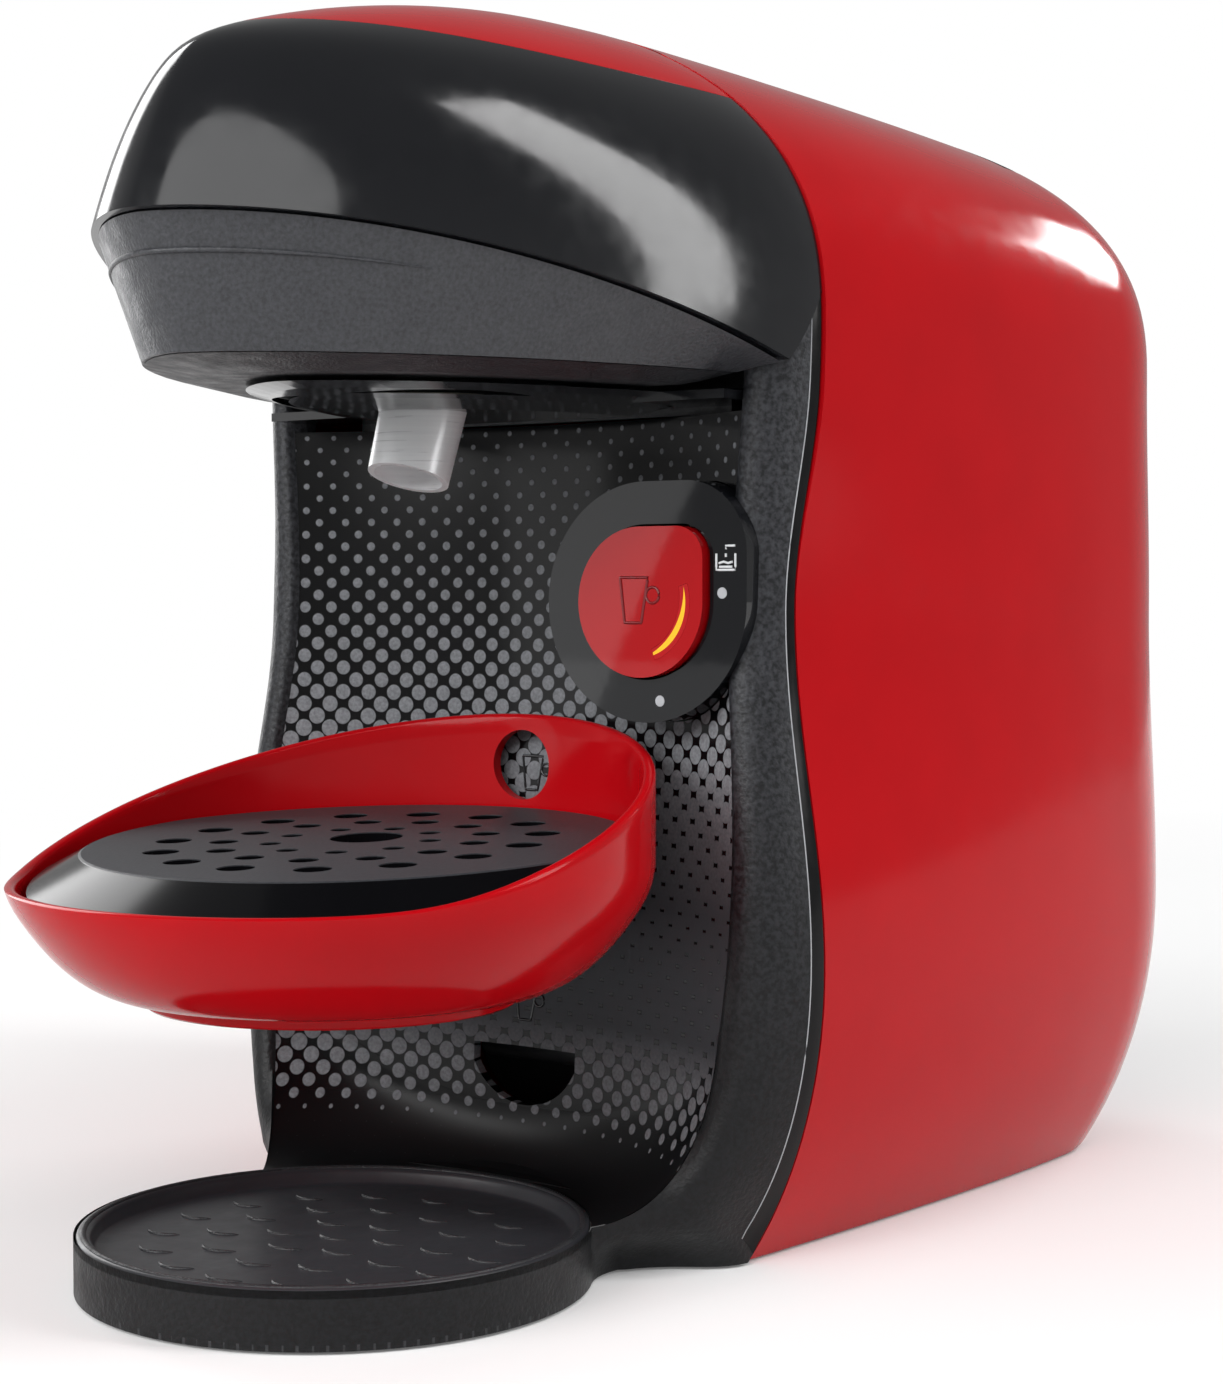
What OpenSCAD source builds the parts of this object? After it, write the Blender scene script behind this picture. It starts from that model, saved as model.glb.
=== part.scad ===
// Pod coffee machine: a barrel-shaped housing with a hinged lid over a brew bowl, a hooked cup tray,
// a fixed saucer foot and a lift-out water tank. +Z is up and the front faces -Y.

/* [Overall] */
// Depth from the cup tray's rim to the back of the water tank
depth = 305; // [303:0.5:308]
// Width across the rear belly
width = 167; // [165:0.5:170]
// Height above the table
height = 253; // [252:0.5:255]
// Height that the rubber feet hold the housing above the table
stand = 0.6; // [0.5:0.1:1]

/* [Housing] */
// Width over the sleeve's front edge
front_w = 151; // [150:0.5:153]
// Depth of the waist at the sleeve's front edge, each side
front_waist = 7; // [5:0.5:8]
// Width over the shoulders at the lid's back edge
shoulder_w = 142.4; // [142:0.2:144]
// Depth of the waist near the back, each side
rear_waist = 2.5; // [1:0.5:4]
// Width over the rear shoulders
rear_shoulder_w = 160; // [158:1:162]
// Height of the widest part of the belly
belly_z = 60; // [57:1:63]
// Height of the waist
waist_z = 131; // [129:1:133]
// Height where the sides start to close over the top
shoulder_z = 187; // [185:1:188]
// How far the sleeve's front edge leans back at the shoulders
seam_lean = 5.5; // [5:0.25:6]
// Radius that rounds the housing over to its back
back_r = 57; // [54:1:60]
// How far the ridge has dropped where that rounding starts
ridge_fall = 3; // [2:1:8]
// Thickness of the moulded shells
wall = 2.5; // [2.2:0.1:2.8]
// Gap at a visible parting line
seam = 0.4; // [0.3:0.05:0.5]

/* [Lid] */
// How far the lid reaches in front of the sleeve
lid_reach = 116.3; // [115.5:0.1:117.5]
// Height of the visor's lower edge at the front
lip_z = 201.4; // [200:0.2:203]
// How far that edge drops towards the sleeve
lip_drop = 26; // [25:0.5:27]
// Height of the textured band's lower edge
band_z = 177; // [176.6:0.1:177.4]
// How far the visor's lip stands proud of the band
lip_step = 1.8; // [1.2:0.1:2]
// Half width of the red top cap at the sleeve
cap_half = 50; // [49:0.5:51]
// How far the cap reaches forward
cap_reach = 88; // [86:1:90]
// How far the lid's hinge axis lies under the top
hinge_drop = 10; // [9.5:0.1:10.5]
// Radius of the lid's hinge pin
hinge_pin_r = 2; // [1.8:0.1:2.2]
// Radial running clearance of a pin or stem in its bore
running = 0.04; // [0.02:0.01:0.08]

/* [Brewing] */
// Distance of the spout in front of the sleeve's edge
spout_lead = 31.5; // [30:0.5:33]
// Outer radius of the spout
spout_r = 8.7; // [8:0.1:9.4]
// Forward tilt of the spout, in degrees
spout_tilt = 19; // [16:1:22]
// Length of the spout below the bowl
spout_len = 14; // [13:0.5:15]
// Radius of the pod seat
pod_r = 30; // [28:0.5:32]

/* [Front panel] */
// Radius of the panel's hollow at the height of the belly
panel_r = 128; // [126:1:131]
// Rise of that radius for each mm of height
panel_lean = 0.052; // [0.04:0.004:0.06]
// Radius of the fillet at the panel's foot
panel_fillet = 10.5; // [9.5:0.5:11]
// Height of the upper hook slot's centre
hook_high_z = 78; // [76:0.5:80]
// Height of the lower hook slot's centre
hook_low_z = 31; // [30:0.5:33]
// Width of a hook slot
hook_w = 27; // [25:0.5:29]

/* [Controls] */
// Radius of the round control bezel
bezel_r = 24; // [23:0.25:25]
// Distance of the bezel's centre inside the sleeve's waist
bezel_inset = 28.7; // [27.9:0.2:29.5]
// Height of the bezel's centre
bezel_z = 132; // [130:1:134]
// Radius of the start button
button_r = 15; // [14:0.25:16]
// Travel of the start button
button_travel = 1.5; // [1:0.25:2]
// How far the button stands proud of the bezel
button_proud = 2; // [1.75:0.25:2.5]
// Radius of the button's stem
stem_r = 4; // [3.5:0.25:4.5]

/* [Saucer foot] */
// Radius of the saucer's rim
saucer_r = 50; // [49:0.5:51]
// Height of the saucer's rim
saucer_h = 11.5; // [11:0.25:12]
// Height of the sunk floor
saucer_floor = 8.5; // [8:0.25:9]
// Width of the saucer's rim
saucer_rim = 2.8; // [2.4:0.2:3.4]
// Radius of the neck's hollows between the saucer and the columns
neck_r = 16; // [14:0.5:18]
// Distance of the saucer's centre in front of the sleeve's edge
saucer_lead = 58.5; // [58:0.5:60]

/* [Cup tray] */
// Radius of the cup tray's rim
cup_r = 62.5; // [62:0.25:63]
// Height of the rim at the front
cup_front_z = 78; // [77:0.5:79]
// Height of the rim at the back
cup_back_z = 108; // [107:0.5:109]
// Height of the tray's underside
cup_base_z = 57; // [56:0.5:58]
// Radius of the window in the tray's back
window_r = 7.4; // [6.5:0.1:8]
// Height of the drip grid's middle
grid_z = 85.3; // [84.5:0.1:86]
// Forward slope of the drip grid, in degrees
grid_tilt = 3.3; // [3:0.1:3.6]

/* [Water tank] */
// Width of the water tank
tank_w = 92; // [90:0.5:93]
// Depth of the bay behind the back of the pump space
tank_d = 54; // [52:0.5:56]
// Height of the tank's floor
tank_z = 28; // [27:0.5:29]
// How far the joint of the tank and its lid lies under the top
tank_lid_drop = 31; // [30:0.5:33]
// Clearance of the tank in its bay
tank_gap = 0.6; // [0.5:0.1:0.8]

/* [Hidden] */
$fn = 64;

red = "#B2181F";
gloss_black = "#1E2023";
black = "#2C2C2E";
grey = "#6E7074";
steel = "#B8BABD";
far = 400;
eps = 0.01;

// The sleeve's front edge lies a little ahead of the cup tray's back.
split_lead = 3.5;
hinge_z = height - hinge_drop;
tank_lid_z = height - tank_lid_drop;
bezel_x = front_w/2 - front_waist - bezel_inset;
split_y = -depth/2 + 2*cup_r - split_lead;
back_y = depth/2;
round_y = back_y - back_r;
flare_end_y = split_y + 114;
mid_z = 125;
shell = wall + seam;
lid_seam_y = split_y + seam_lean;
shoulder_gap_z = 174;
bowl_top_z = shoulder_gap_z - 0.6;
panel_foot_z = saucer_h + 0.5;

function mix(a, b, t) = a + (b - a)*t;
function clamp(t) = min(1, max(0, t));
function ease(t) = let(c = clamp(t)) c*c*(3 - 2*c);
function power(v, p) = sign(v)*pow(abs(v), p);

// ---- Housing sections: [belly, waist and shoulder half widths, lower drop, top] ----
front_section = [front_w/2, front_w/2 - front_waist, shoulder_w/2, 93, height];
rear_section = [width/2, width/2 - rear_waist, rear_shoulder_w/2, 98, height - ridge_fall];
arch_x = 1.5;
arch_z = 2.42;
function section_at(y) =
    let(f = 1 - pow(clamp((flare_end_y - y)/(flare_end_y - split_y)), 1.6),
        r = pow(clamp((y - split_y)/(round_y - split_y)), 1.5))
    [for (i = [0:4]) mix(front_section[i], rear_section[i], i == 4 ? r : f)];
function waist_share(z) =
    let(span = z > waist_z ? shoulder_z - waist_z : waist_z - belly_z)
    pow(cos(90*clamp(abs(z - waist_z)/span)), 2);
function half_at(z, s) =
    z > shoulder_z
        ? s[2]*pow(1 - pow(clamp((z - shoulder_z)/(s[4] - shoulder_z)), arch_z), 1/arch_x)
    : z < belly_z ? s[0]*sqrt(1 - pow((belly_z - z)/s[3], 2))
    : mix(z > waist_z ? s[2] : s[0], s[1], waist_share(z));

// Right half of a section from the bottom edge up to the ridge, shrunk by t
low_n = 6;
side_n = 9;
arch_n = 10;
function shrink(s, t) = [s[0] - t, s[1] - t, s[2] - t, s[3], s[4] - t];
function half_section(s, low) = concat(
    [for (i = [0:low_n - 1]) let(z = mix(low, belly_z, i/low_n)) [half_at(z, s), z]],
    [for (i = [0:side_n - 1]) let(z = mix(belly_z, shoulder_z, i/side_n)) [half_at(z, s), z]],
    [for (i = [0:arch_n]) let(a = 90*i/arch_n)
        [s[2]*pow(cos(a), 2/arch_x), shoulder_z + (s[4] - shoulder_z)*pow(sin(a), 2/arch_z)]]);
function full_section(s, low) =
    let(h = half_section(s, low))
    concat(h, [for (i = [len(h) - 2:-1:0]) [-h[i][0], h[i][1]]]);

// Share of the back's rounding that the crown takes
crown_round = 0.3;
// Ring of the housing's outside at depth y, drawn in by d all round and thinned by t
function housing_ring(y, d, t, low) =
    let(s = shrink(section_at(y > round_y ? round_y : y), t), top = s[4], base = low)
    [for (p = full_section(s, base))
        [p[0]*(1 - d/s[0]), y, p[1] > mid_z
            ? mid_z + (p[1] - mid_z)*(1 - crown_round*d/(top - mid_z))
            : mid_z - (mid_z - p[1])*(1 - d/(mid_z - base))]];

flat_steps = 7;
round_steps = 8;
// Solid of the housing's outside, thinned by t; open_base lets a thinned one reach past the bottom
module envelope(t = 0, open_base = false) {
    start = t > 0 ? split_y - 1 : split_y;
    r = back_r - t;
    low = stand + (open_base ? -1 : t);
    loft(concat(
        [for (i = [0:flat_steps - 1]) housing_ring(mix(start, round_y, i/flat_steps), 0, t, low)],
        [for (i = [0:round_steps]) let(a = 90*i/round_steps)
            housing_ring(round_y + r*sin(a), r*(1 - cos(a)), t,
                open_base ? mix(low, stand + t, ease(a/11)) : low)]));
}

// Solid through a list of rings with equal counts, closed by flat ends
module loft(rings) {
    n = len(rings[0]);
    m = len(rings);
    polyhedron(points = [for (r = rings) each r], convexity = 10, faces = concat(
        [[for (i = [n - 1:-1:0]) i]],
        [for (k = [0:m - 2], i = [0:n - 1]) let(a = k*n + i, b = k*n + (i + 1)%n)
            each [[a, b, a + n], [b, b + n, a + n]]],
        [[for (i = [0:n - 1]) (m - 1)*n + i]]));
}

// Solid through rings whose two ends close to a point each
module domed_loft(rings, first, last) {
    n = len(rings[0]);
    m = len(rings);
    polyhedron(points = concat([for (r = rings) each r], [first, last]), convexity = 10, faces = concat(
        [for (i = [0:n - 1]) [m*n, (i + 1)%n, i]],
        [for (k = [0:m - 2], i = [0:n - 1]) let(a = k*n + i, b = k*n + (i + 1)%n)
            each [[a, b, a + n], [b, b + n, a + n]]],
        [for (i = [0:n - 1]) [m*n + 1, (m - 1)*n + i, (m - 1)*n + (i + 1)%n]]));
}

// Box from its low corner to its high corner
module box(a, b) {
    translate(a)
        cube(b - a);
}

// Straight prism along X of a [y, z] outline, and along Y of an [x, z] outline
module along_x(x0, x1) {
    translate([x0, 0, 0])
        rotate([90, 0, 90])
            linear_extrude(x1 - x0)
                children();
}
module along_y(y0, y1) {
    translate([0, y1, 0])
        rotate([90, 0, 0])
            linear_extrude(y1 - y0)
                children();
}
module rod_x(x0, x1, y, z, r) {
    translate([x0, y, z])
        rotate([0, 90, 0])
            cylinder(h = x1 - x0, r = r);
}
module rod_y(y0, y1, x, z, r) {
    translate([x, y0, z])
        rotate([-90, 0, 0])
            cylinder(h = y1 - y0, r = r);
}

// ---- Lid hinge: the top edges turn about one axis just under the skin ----
hinge_open = 60;
hinge_half = 32;
hinge_lip = 80;
function crown_at(x) = let(s = front_section)
    shoulder_z + (s[4] - shoulder_z)*pow(1 - pow(abs(x)/s[2], arch_x), 1/arch_z);
// Depth of the sleeve's front edge at a height
function seam_y(z) = split_y + seam_lean*ease((z - 130)/45);
// Round body about the hinge axis that touches the crowned skin from below
module hinge_barrel(grow) {
    steps = 10;
    half = hinge_half + max(0, grow);
    xs = [for (i = [-steps:steps]) half*i/steps];
    translate([0, lid_seam_y, hinge_z])
        rotate([0, 90, 0])
            rotate_extrude($fn = 48)
                polygon(concat([[0, -half]],
                    [for (x = xs) [max(0.2, crown_at(x) - hinge_z + grow), x]], [[0, half]]));
}
// Everything in front of the sleeve's edge, which leans back above the hinge axis
module ahead_of_seam() {
    top = height + 20;
    steps = 6;
    along_x(-far/2, far/2)
        polygon(concat([[split_y - far, -far], [split_y, -far]],
            [for (i = [0:steps]) let(z = mix(130, 175, i/steps)) [seam_y(z), z]],
            [[lid_seam_y, hinge_z], [lid_seam_y + (top - hinge_z)*tan(hinge_open/2), top],
                [split_y - far, top]]));
}

// ---- Parting surface between the lid and the housing's shoulders ----
shoulder_lead = 13 + seam_lean;
shoulder_rise = 19;
// Below the parting surface, moved up by d
module under_lid(d) {
    steps = 8;
    along_x(-far/2, far/2)
        polygon(concat([[split_y - far, -far], [split_y - far, shoulder_gap_z + d]],
            [for (i = [0:steps]) let(f = i/steps)
                [lid_seam_y - shoulder_lead*(1 - f), shoulder_gap_z + d + shoulder_rise*pow(f, 1.6)]],
            [[split_y + far, shoulder_gap_z + d + shoulder_rise], [split_y + far, -far]]));
}

// ---- Lid skin ----
lid_back_y = lid_seam_y - 0.75*seam;
plan_power = 1.62;
lid_steps = 28;
skin_levels = [0, 0.14, 0.28, 0.42, 0.54, 0.63, 0.7, 0.78, 0.87, 0.94, 0.985, 0.999];
lid_levels = len(skin_levels) - 1;
front_lean = 0.15;
front_curl = 0.165;
crown_fall = 0.48;
edge_power = 30;
function plan_reach(a) = pow(sin(a), 2/plan_power);
function lip_at(a) = lip_z - lip_drop*pow(1 - plan_reach(a), 1.55);
// Level line of the lid, half wide and reach long, at the heights that z gives
function plan_ring(half, reach, z, back) = [for (i = [0:lid_steps]) let(a = 180*i/lid_steps)
    [half*power(cos(a), 2/plan_power), back - reach*plan_reach(a), z[i]]];
function level(z) = [for (i = [0:lid_steps]) z];
// Share of the lower line left at the share f of the height: a leaning wall under a shallow crown
function wall_share(f) = 1 - front_lean*f - front_curl*pow(f, 3);
function crown_share(f) = sqrt(max(0, 1 - f)/crown_fall) + 0.0001;
function nose_share(f) =
    pow(pow(wall_share(f), -edge_power) + pow(crown_share(f), -edge_power), -1/edge_power);
function side_share(z) = half_at(z, front_section)/front_section[2];
function skin_share(a, f, z) = mix(side_share(z), nose_share(f), pow(sin(a), 2));
function skin_ring(f, t, back, sink = 0) = [for (i = [0:lid_steps])
    let(a = 180*i/lid_steps, low = lip_at(a) - t*2, z = mix(lip_at(a), height, f), g = skin_share(a, f, z),
        top = (z - low)*(height - t - low)/(height - low) + low)
    [(front_section[2] - t)*power(cos(a), 2/plan_power)*g, back - (lid_reach - t)*plan_reach(a)*g, top - sink]];
// Height to which the lip's underside runs inwards
lip_core_z = shoulder_gap_z + 8;
module lid_solid(t) {
    back = lid_back_y + (t > 0 ? 1 : 0);
    sink = t > 0 ? 8 : 0;
    domed_loft(concat([skin_ring(0, t, back, sink)],
            [for (j = [t > 0 ? 0 : 1:lid_levels]) skin_ring(skin_levels[j], t, back)]),
        [0, back - 30, lip_core_z - sink], [0, back, height - t]);
}
module lid_skin() {
    difference() {
        lid_solid(0);
        lid_solid(wall);
        under_lid(seam/2);
    }
}
cap_power = 1.5;
// Plan outline of the red cap, upright through the lid
module cap_prism(d) {
    steps = 24;
    translate([0, 0, shoulder_z])
        linear_extrude(height)
            polygon(concat([[cap_half + d, lid_seam_y + 20]],
                [for (i = [0:steps]) let(a = 180*i/steps)
                    [(cap_half + d)*power(cos(a), 2/cap_power),
                        lid_seam_y - (cap_reach + d)*pow(sin(a), 2/cap_power)]],
                [[-cap_half - d, lid_seam_y + 20]]));
}
module lid_visor() {
    color(gloss_black)
        difference() {
            lid_skin();
            cap_prism(0);
        }
}
// Slice between two directions from the hinge axis, each an angle behind the vertical
module hinge_wedge(a0, a1) {
    steps = 6;
    along_x(-far/2, far/2)
        translate([lid_seam_y, hinge_z])
            polygon(concat([[0, 0]], [for (i = [0:steps]) let(a = mix(a0, a1, i/steps)) [60*sin(a), 60*cos(a)]]));
}
module lid_cap() {
    color(red)
        difference() {
            union() {
                difference() {
                    intersection() {
                        lid_skin();
                        cap_prism(-0.15);
                    }
                    hinge_wedge(-hinge_open/2 - 2, 1);
                }
                intersection() {
                    hinge_barrel(0);
                    hinge_wedge(-hinge_open/2 - 12, hinge_lip);
                }
            }
            hinge_barrel(-wall);
        }
}
// Height of the band's lower edge, kept under the visor where the two run together
function band_low(a) = min(band_z, lip_at(a) - 1);
band_half = 61;
band_reach = 105.5;
module band_solid(t, rise, sink) {
    half = front_section[2] - lip_step - t;
    reach = lid_reach - lip_step - t;
    back = lid_back_y + (t > 0 ? 1 : 0);
    top = [for (i = [0:lid_steps]) lip_at(180*i/lid_steps) - 0.65 + rise];
    low = [for (i = [0:lid_steps]) band_low(180*i/lid_steps) - 0.2 - sink];
    domed_loft([plan_ring(band_half - t, band_reach - t, low, back),
            plan_ring(half, reach, top, back)],
        [0, back - 30, band_z - 0.2 - sink], [0, back - 30, lip_core_z - 0.65 + rise]);
}
module lid_band() {
    color(black)
        difference() {
            band_solid(0, 0, 0);
            band_solid(wall, 1, 1);
            under_lid(seam/2);
        }
}

// Lid liner: the lid's floor and back wall, with the two hinge arms
floor_z = shoulder_gap_z + seam;
liner_t = 1.2;
arm_in = 9;
arm_w = 5;
boss_r = 4.6;
liner_y = lid_seam_y - 3;
module lid_liner() {
    inset = wall + 0.8;
    color(black)
        difference() {
            union() {
                domed_loft([plan_ring(band_half - 9, band_reach - 20, level(floor_z), liner_y),
                        plan_ring(band_half - 0.8, band_reach - 3.5, level(band_z - 0.35), liner_y)],
                    [0, liner_y - 30, floor_z], [0, liner_y - 30, band_z - 0.35]);
                difference() {
                    along_y(liner_y - 2, liner_y)
                        polygon(full_section(shrink(front_section, inset), stand));
                    box([-far, -far, -far], [far, far, floor_z + 1]);
                    hinge_barrel(seam);
                }
                for (side = [-1, 1])
                    hinge_arm(side);
                for (x = [-43, 40])
                    box([x, liner_y - 28, floor_z + 0.6], [x + 3, liner_y - 1, hinge_z - 36]);
                translate([0, spout_y, floor_z])
                    cylinder(h = pod_h, r = pod_r + 3);
            }
            translate([0, spout_y, floor_z - 1])
                cylinder(h = pod_h + 2, r = pod_r + 1);
            rod_x(-far/2, far/2, lid_seam_y, hinge_z, hinge_pin_r + running);
            translate([0, 0, seam/2 + 0.3])
                under_lid(0);
            box([-8.6, -far, hinge_z - 22], [8.6, far, far]);
        }
}
module hinge_arm(side) {
    x0 = side > 0 ? arm_in : -arm_in - arm_w;
    rod_x(x0, x0 + arm_w, lid_seam_y, hinge_z, boss_r);
    box([x0, liner_y - 2, hinge_z - 26], [x0 + arm_w, lid_seam_y - 1.4, hinge_z + 1]);
}
module lid_hinge_pin() {
    reach = arm_in + arm_w + 1;
    color(steel)
        rod_x(-reach, reach, lid_seam_y, hinge_z, hinge_pin_r);
}
clamp_h = 3;
pod_h = 8;
spout_y = split_y - spout_lead;
module piercing_clamp() {
    color(grey)
        translate([0, spout_y, floor_z + pod_h])
            difference() {
                union() {
                    cylinder(h = clamp_h, r = pod_r + 3);
                    cylinder(h = clamp_h + 4, r = 9);
                    translate([0, 0, -2])
                        cylinder(h = 3, r = 7);
                }
                translate([0, 0, clamp_h])
                    cylinder(h = 5, r = 6.5);
            }
}
module code_window() {
    color("#4A1518")
        box([-9, spout_y - 38.5, band_z - 0.35], [9, spout_y - 35.5, band_z + 5.6]);
}

// ---- Housing pieces ----
tank_y = back_y - tank_d;
bay_half = tank_w/2 + tank_gap;
module sleeve() {
    color(red)
        difference() {
            envelope();
            envelope(wall, true);
            ahead_of_seam();
            hinge_barrel(seam);
            box([-bay_half - 1.8, tank_y - 2.3, tank_z - 3.1], [bay_half + 1.8, far, far]);
            rod_y(cord_y - 4, far, cord_x, cord_z, cord_r + seam/4);
        }
}
cord_x = 32;
cord_y = round_y + 24;
cord_z = 15;
cord_r = 5;
module cord_bush() {
    color(black)
        difference() {
            union() {
                rod_y(cord_y - 4, cord_y + 16, cord_x, cord_z, cord_r);
                rod_y(cord_y - 7, cord_y - 3.9, cord_x, cord_z, cord_r + 1.5);
            }
            rod_y(cord_y + 2, cord_y + 20, cord_x, cord_z, 3.4);
        }
}

// Distance from the sleeve's edge to the panel's border, and the panel's surface
panel_axis_y = split_y - 125.4;
panel_top_z = bowl_top_z - 3.4 - seam;
function column_w(z) = mix(17, 11.3, ease((z - 30)/80));
function panel_half(z) = half_at(z, front_section) - column_w(z);
// Radius of the panel's hollow, drawn in by the fillet at its foot
function panel_radius(z) = panel_r + panel_lean*(z - 43)
    - panel_fillet + sqrt(max(0, pow(panel_fillet, 2) - pow(max(0, panel_foot_z + panel_fillet - z), 2)));
function panel_y(x, z) = panel_axis_y + sqrt(pow(panel_radius(z), 2) - x*x);

// One section of the right-hand column: a moulding open to the back
function column_section(z) =
    let(half = half_at(z, front_section), in_x = panel_half(z) + seam,
        in_y = panel_y(in_x, z) - 1.2,
        edge_y = seam_y(z),
        out_x = half - 1 - 2.5*ease((z - 145)/30), out_y = edge_y - 2 - 4.7*ease((50 - z)/28),
        bow_x = mix(in_x, out_x, 0.55), bow_y = mix(in_y, out_y, 0.55) - 0.8)
    [[in_x, in_y + 9, z], [in_x + 2.5, in_y + 9, z], [in_x + 2.5, in_y + 4, z], [bow_x, bow_y + 3.2, z],
        [half - shell - 2.8, edge_y + 1.2, z], [half - shell - 2.8, edge_y + 6, z],
        [half - shell - 0.3, edge_y + 6, z], [half - shell - 0.3, edge_y - seam, z],
        [half - 0.15, edge_y - seam, z], [out_x, out_y, z], [bow_x, bow_y, z], [in_x, in_y, z]];
column_top_z = shoulder_gap_z + shoulder_rise + 4;
column_steps = 18;
base_h = saucer_h;
module column() {
    difference() {
        loft([for (i = [0:column_steps]) column_section(mix(base_h - 6, column_top_z, i/column_steps))]);
        difference() {
            box([-far/2, -far/2, 100], [far/2, far/2, far]);
            under_lid(-seam/2);
        }
    }
}
saucer_y = split_y - saucer_lead;
module base_outline() {
    half = half_at(8, front_section) - 0.6;
    front_y = split_y - 9;
    neck_y = front_y - neck_r;
    neck_x = sqrt(pow(saucer_r + neck_r, 2) - pow(neck_y - saucer_y, 2));
    difference() {
        union() {
            translate([0, saucer_y])
                circle(saucer_r, $fn = 96);
            translate([-half, front_y])
                square([2*half, 9 - seam]);
            polygon([[0, saucer_y], [neck_x, neck_y], [neck_x, front_y + 1], [-neck_x, front_y + 1],
                [-neck_x, neck_y]]);
        }
        for (side = [-1, 1])
            translate([side*neck_x, neck_y])
                circle(neck_r, $fn = 64);
    }
}
module front_frame() {
    tongue = half_at(8, front_section) - shell - 1.2;
    color(black)
        difference() {
            union() {
                translate([0, 0, stand])
                    linear_extrude(saucer_h - stand)
                        base_outline();
                box([-tongue, split_y - 2, stand + shell + 1.4], [tongue, split_y + 6, base_h - 1.5]);
                column();
                mirror([1, 0, 0])
                    column();
            }
            translate([0, saucer_y, saucer_floor])
                cylinder(h = 20, r = saucer_r - saucer_rim, $fn = 96);
            panel_bed();
            bezel_plug(seam/2);
            foot_holes(front_feet);
        }
}
// Bed in the foot's top for the panel's lower lip
module panel_bed() {
    r = panel_radius(panel_foot_z) - 0.4;
    intersection() {
        translate([0, panel_axis_y, 0])
            rotate([0, 0, 55])
                rotate_extrude(angle = 70, $fn = 160)
                    polygon([[r, base_h - panel_t - 0.2], [r + 60, base_h - panel_t - 0.2], [r + 60, base_h + 4],
                        [r, base_h + 4]]);
        box([-panel_half(panel_foot_z) - 3, -far, 0], [panel_half(panel_foot_z) + 3, split_y - 2.6, far]);
    }
}

panel_t = 2.2;
// Profile of the panel from its top down to the forward end of its foot, radius first
function panel_profile(d) =
    let(r0 = panel_radius(panel_foot_z + panel_fillet), f = panel_fillet)
    concat([[panel_radius(panel_top_z) + d, panel_top_z]],
        [for (i = [0:6]) let(a = 90*i/6)
            [r0 + d - (f + d)*(1 - cos(a)), panel_foot_z + f - (f + d)*sin(a)]]);
module panel_shape() {
    front = panel_profile(0);
    back = panel_profile(panel_t);
    translate([0, panel_axis_y, 0])
        rotate([0, 0, 60])
            rotate_extrude(angle = 60, $fn = 160)
                polygon(concat(front, [for (i = [len(back) - 1:-1:0]) back[i]]));
}
module panel_border() {
    steps = 24;
    zs = [for (i = [0:steps]) mix(panel_foot_z + 2, panel_top_z + 1, i/steps)];
    along_y(-far/2, far/2)
        polygon(concat([for (z = zs) [panel_half(z), z]], [for (i = [steps:-1:0]) [-panel_half(zs[i]), zs[i]]],
            [[-panel_half(zs[0]) + 3, panel_foot_z - 4], [panel_half(zs[0]) - 3, panel_foot_z - 4]]));
}
module front_panel() {
    color(gloss_black)
        difference() {
            intersection() {
                panel_shape();
                panel_border();
            }
            hook_slot(hook_high_z);
            hook_slot(hook_low_z);
            bezel_plug(seam/2);
        }
}
// A slot with a flat top and a rounded underside
slot_h = 12.5;
module hook_slot(z) {
    r = (pow(hook_w/2, 2) + pow(slot_h - 4, 2))/(2*(slot_h - 4));
    intersection() {
        rod_y(split_y - 20, split_y + 20, 0, z - slot_h/2 + r, r);
        box([-hook_w/2, split_y - 20, z - slot_h/2], [hook_w/2, split_y + 20, z + slot_h/2]);
    }
}

module bottom_outline() {
    ys = [for (i = [0:8]) mix(split_y + 6.6, round_y, i/8)];
    function edge(y) = half_at(stand, section_at(y)) - shell - 0.6;
    polygon(concat([for (y = ys) [edge(y), y]], [for (i = [8:-1:0]) [-edge(ys[i]), ys[i]]]));
}
boss_h = 3;
bosses = [[-40, split_y + 24], [40, split_y + 24], [-46, tank_y - 26], [46, tank_y - 26]];
module bottom_cover() {
    color(black)
        difference() {
            union() {
                translate([0, 0, stand])
                    linear_extrude(wall)
                        bottom_outline();
                for (b = bosses)
                    translate([b[0], b[1], stand + eps])
                        cylinder(h = wall + boss_h - eps, r = 5);
            }
            for (b = bosses)
                translate([b[0], b[1], 0])
                    screw_room();
            foot_holes(rear_feet);
        }
}
front_feet = [[-24, saucer_y - 28], [24, saucer_y - 28]];
rear_feet = [[-44, split_y + 42], [44, split_y + 42], [-50, round_y - 8], [50, round_y - 8]];
foot_r = 6;
foot_sink = 1.2;
module foot_holes(places) {
    for (p = places)
        translate([p[0], p[1], 0])
            cylinder(h = stand + foot_sink, r = foot_r + 0.1);
}
module rubber_feet() {
    color("#232323")
        for (p = concat(front_feet, rear_feet))
            translate([p[0], p[1], 0])
                cylinder(h = stand + foot_sink, r = foot_r);
}
screw_r = 1.5;
module screw_room() {
    cylinder(h = 20, r = screw_r + 0.1);
    translate([0, 0, -1])
        cylinder(h = 1 + stand + 1.6, r = 3.4);
}
module cover_screws() {
    color(steel)
        for (b = bosses)
            translate([b[0], b[1], stand + 0.4])
                difference() {
                    union() {
                        cylinder(h = 1.2, r = 3);
                        cylinder(h = wall + boss_h + 3, r = screw_r);
                    }
                    translate([0, 0, -eps])
                        cylinder(h = 0.8, r = 1.3, $fn = 6);
                }
}

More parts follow.
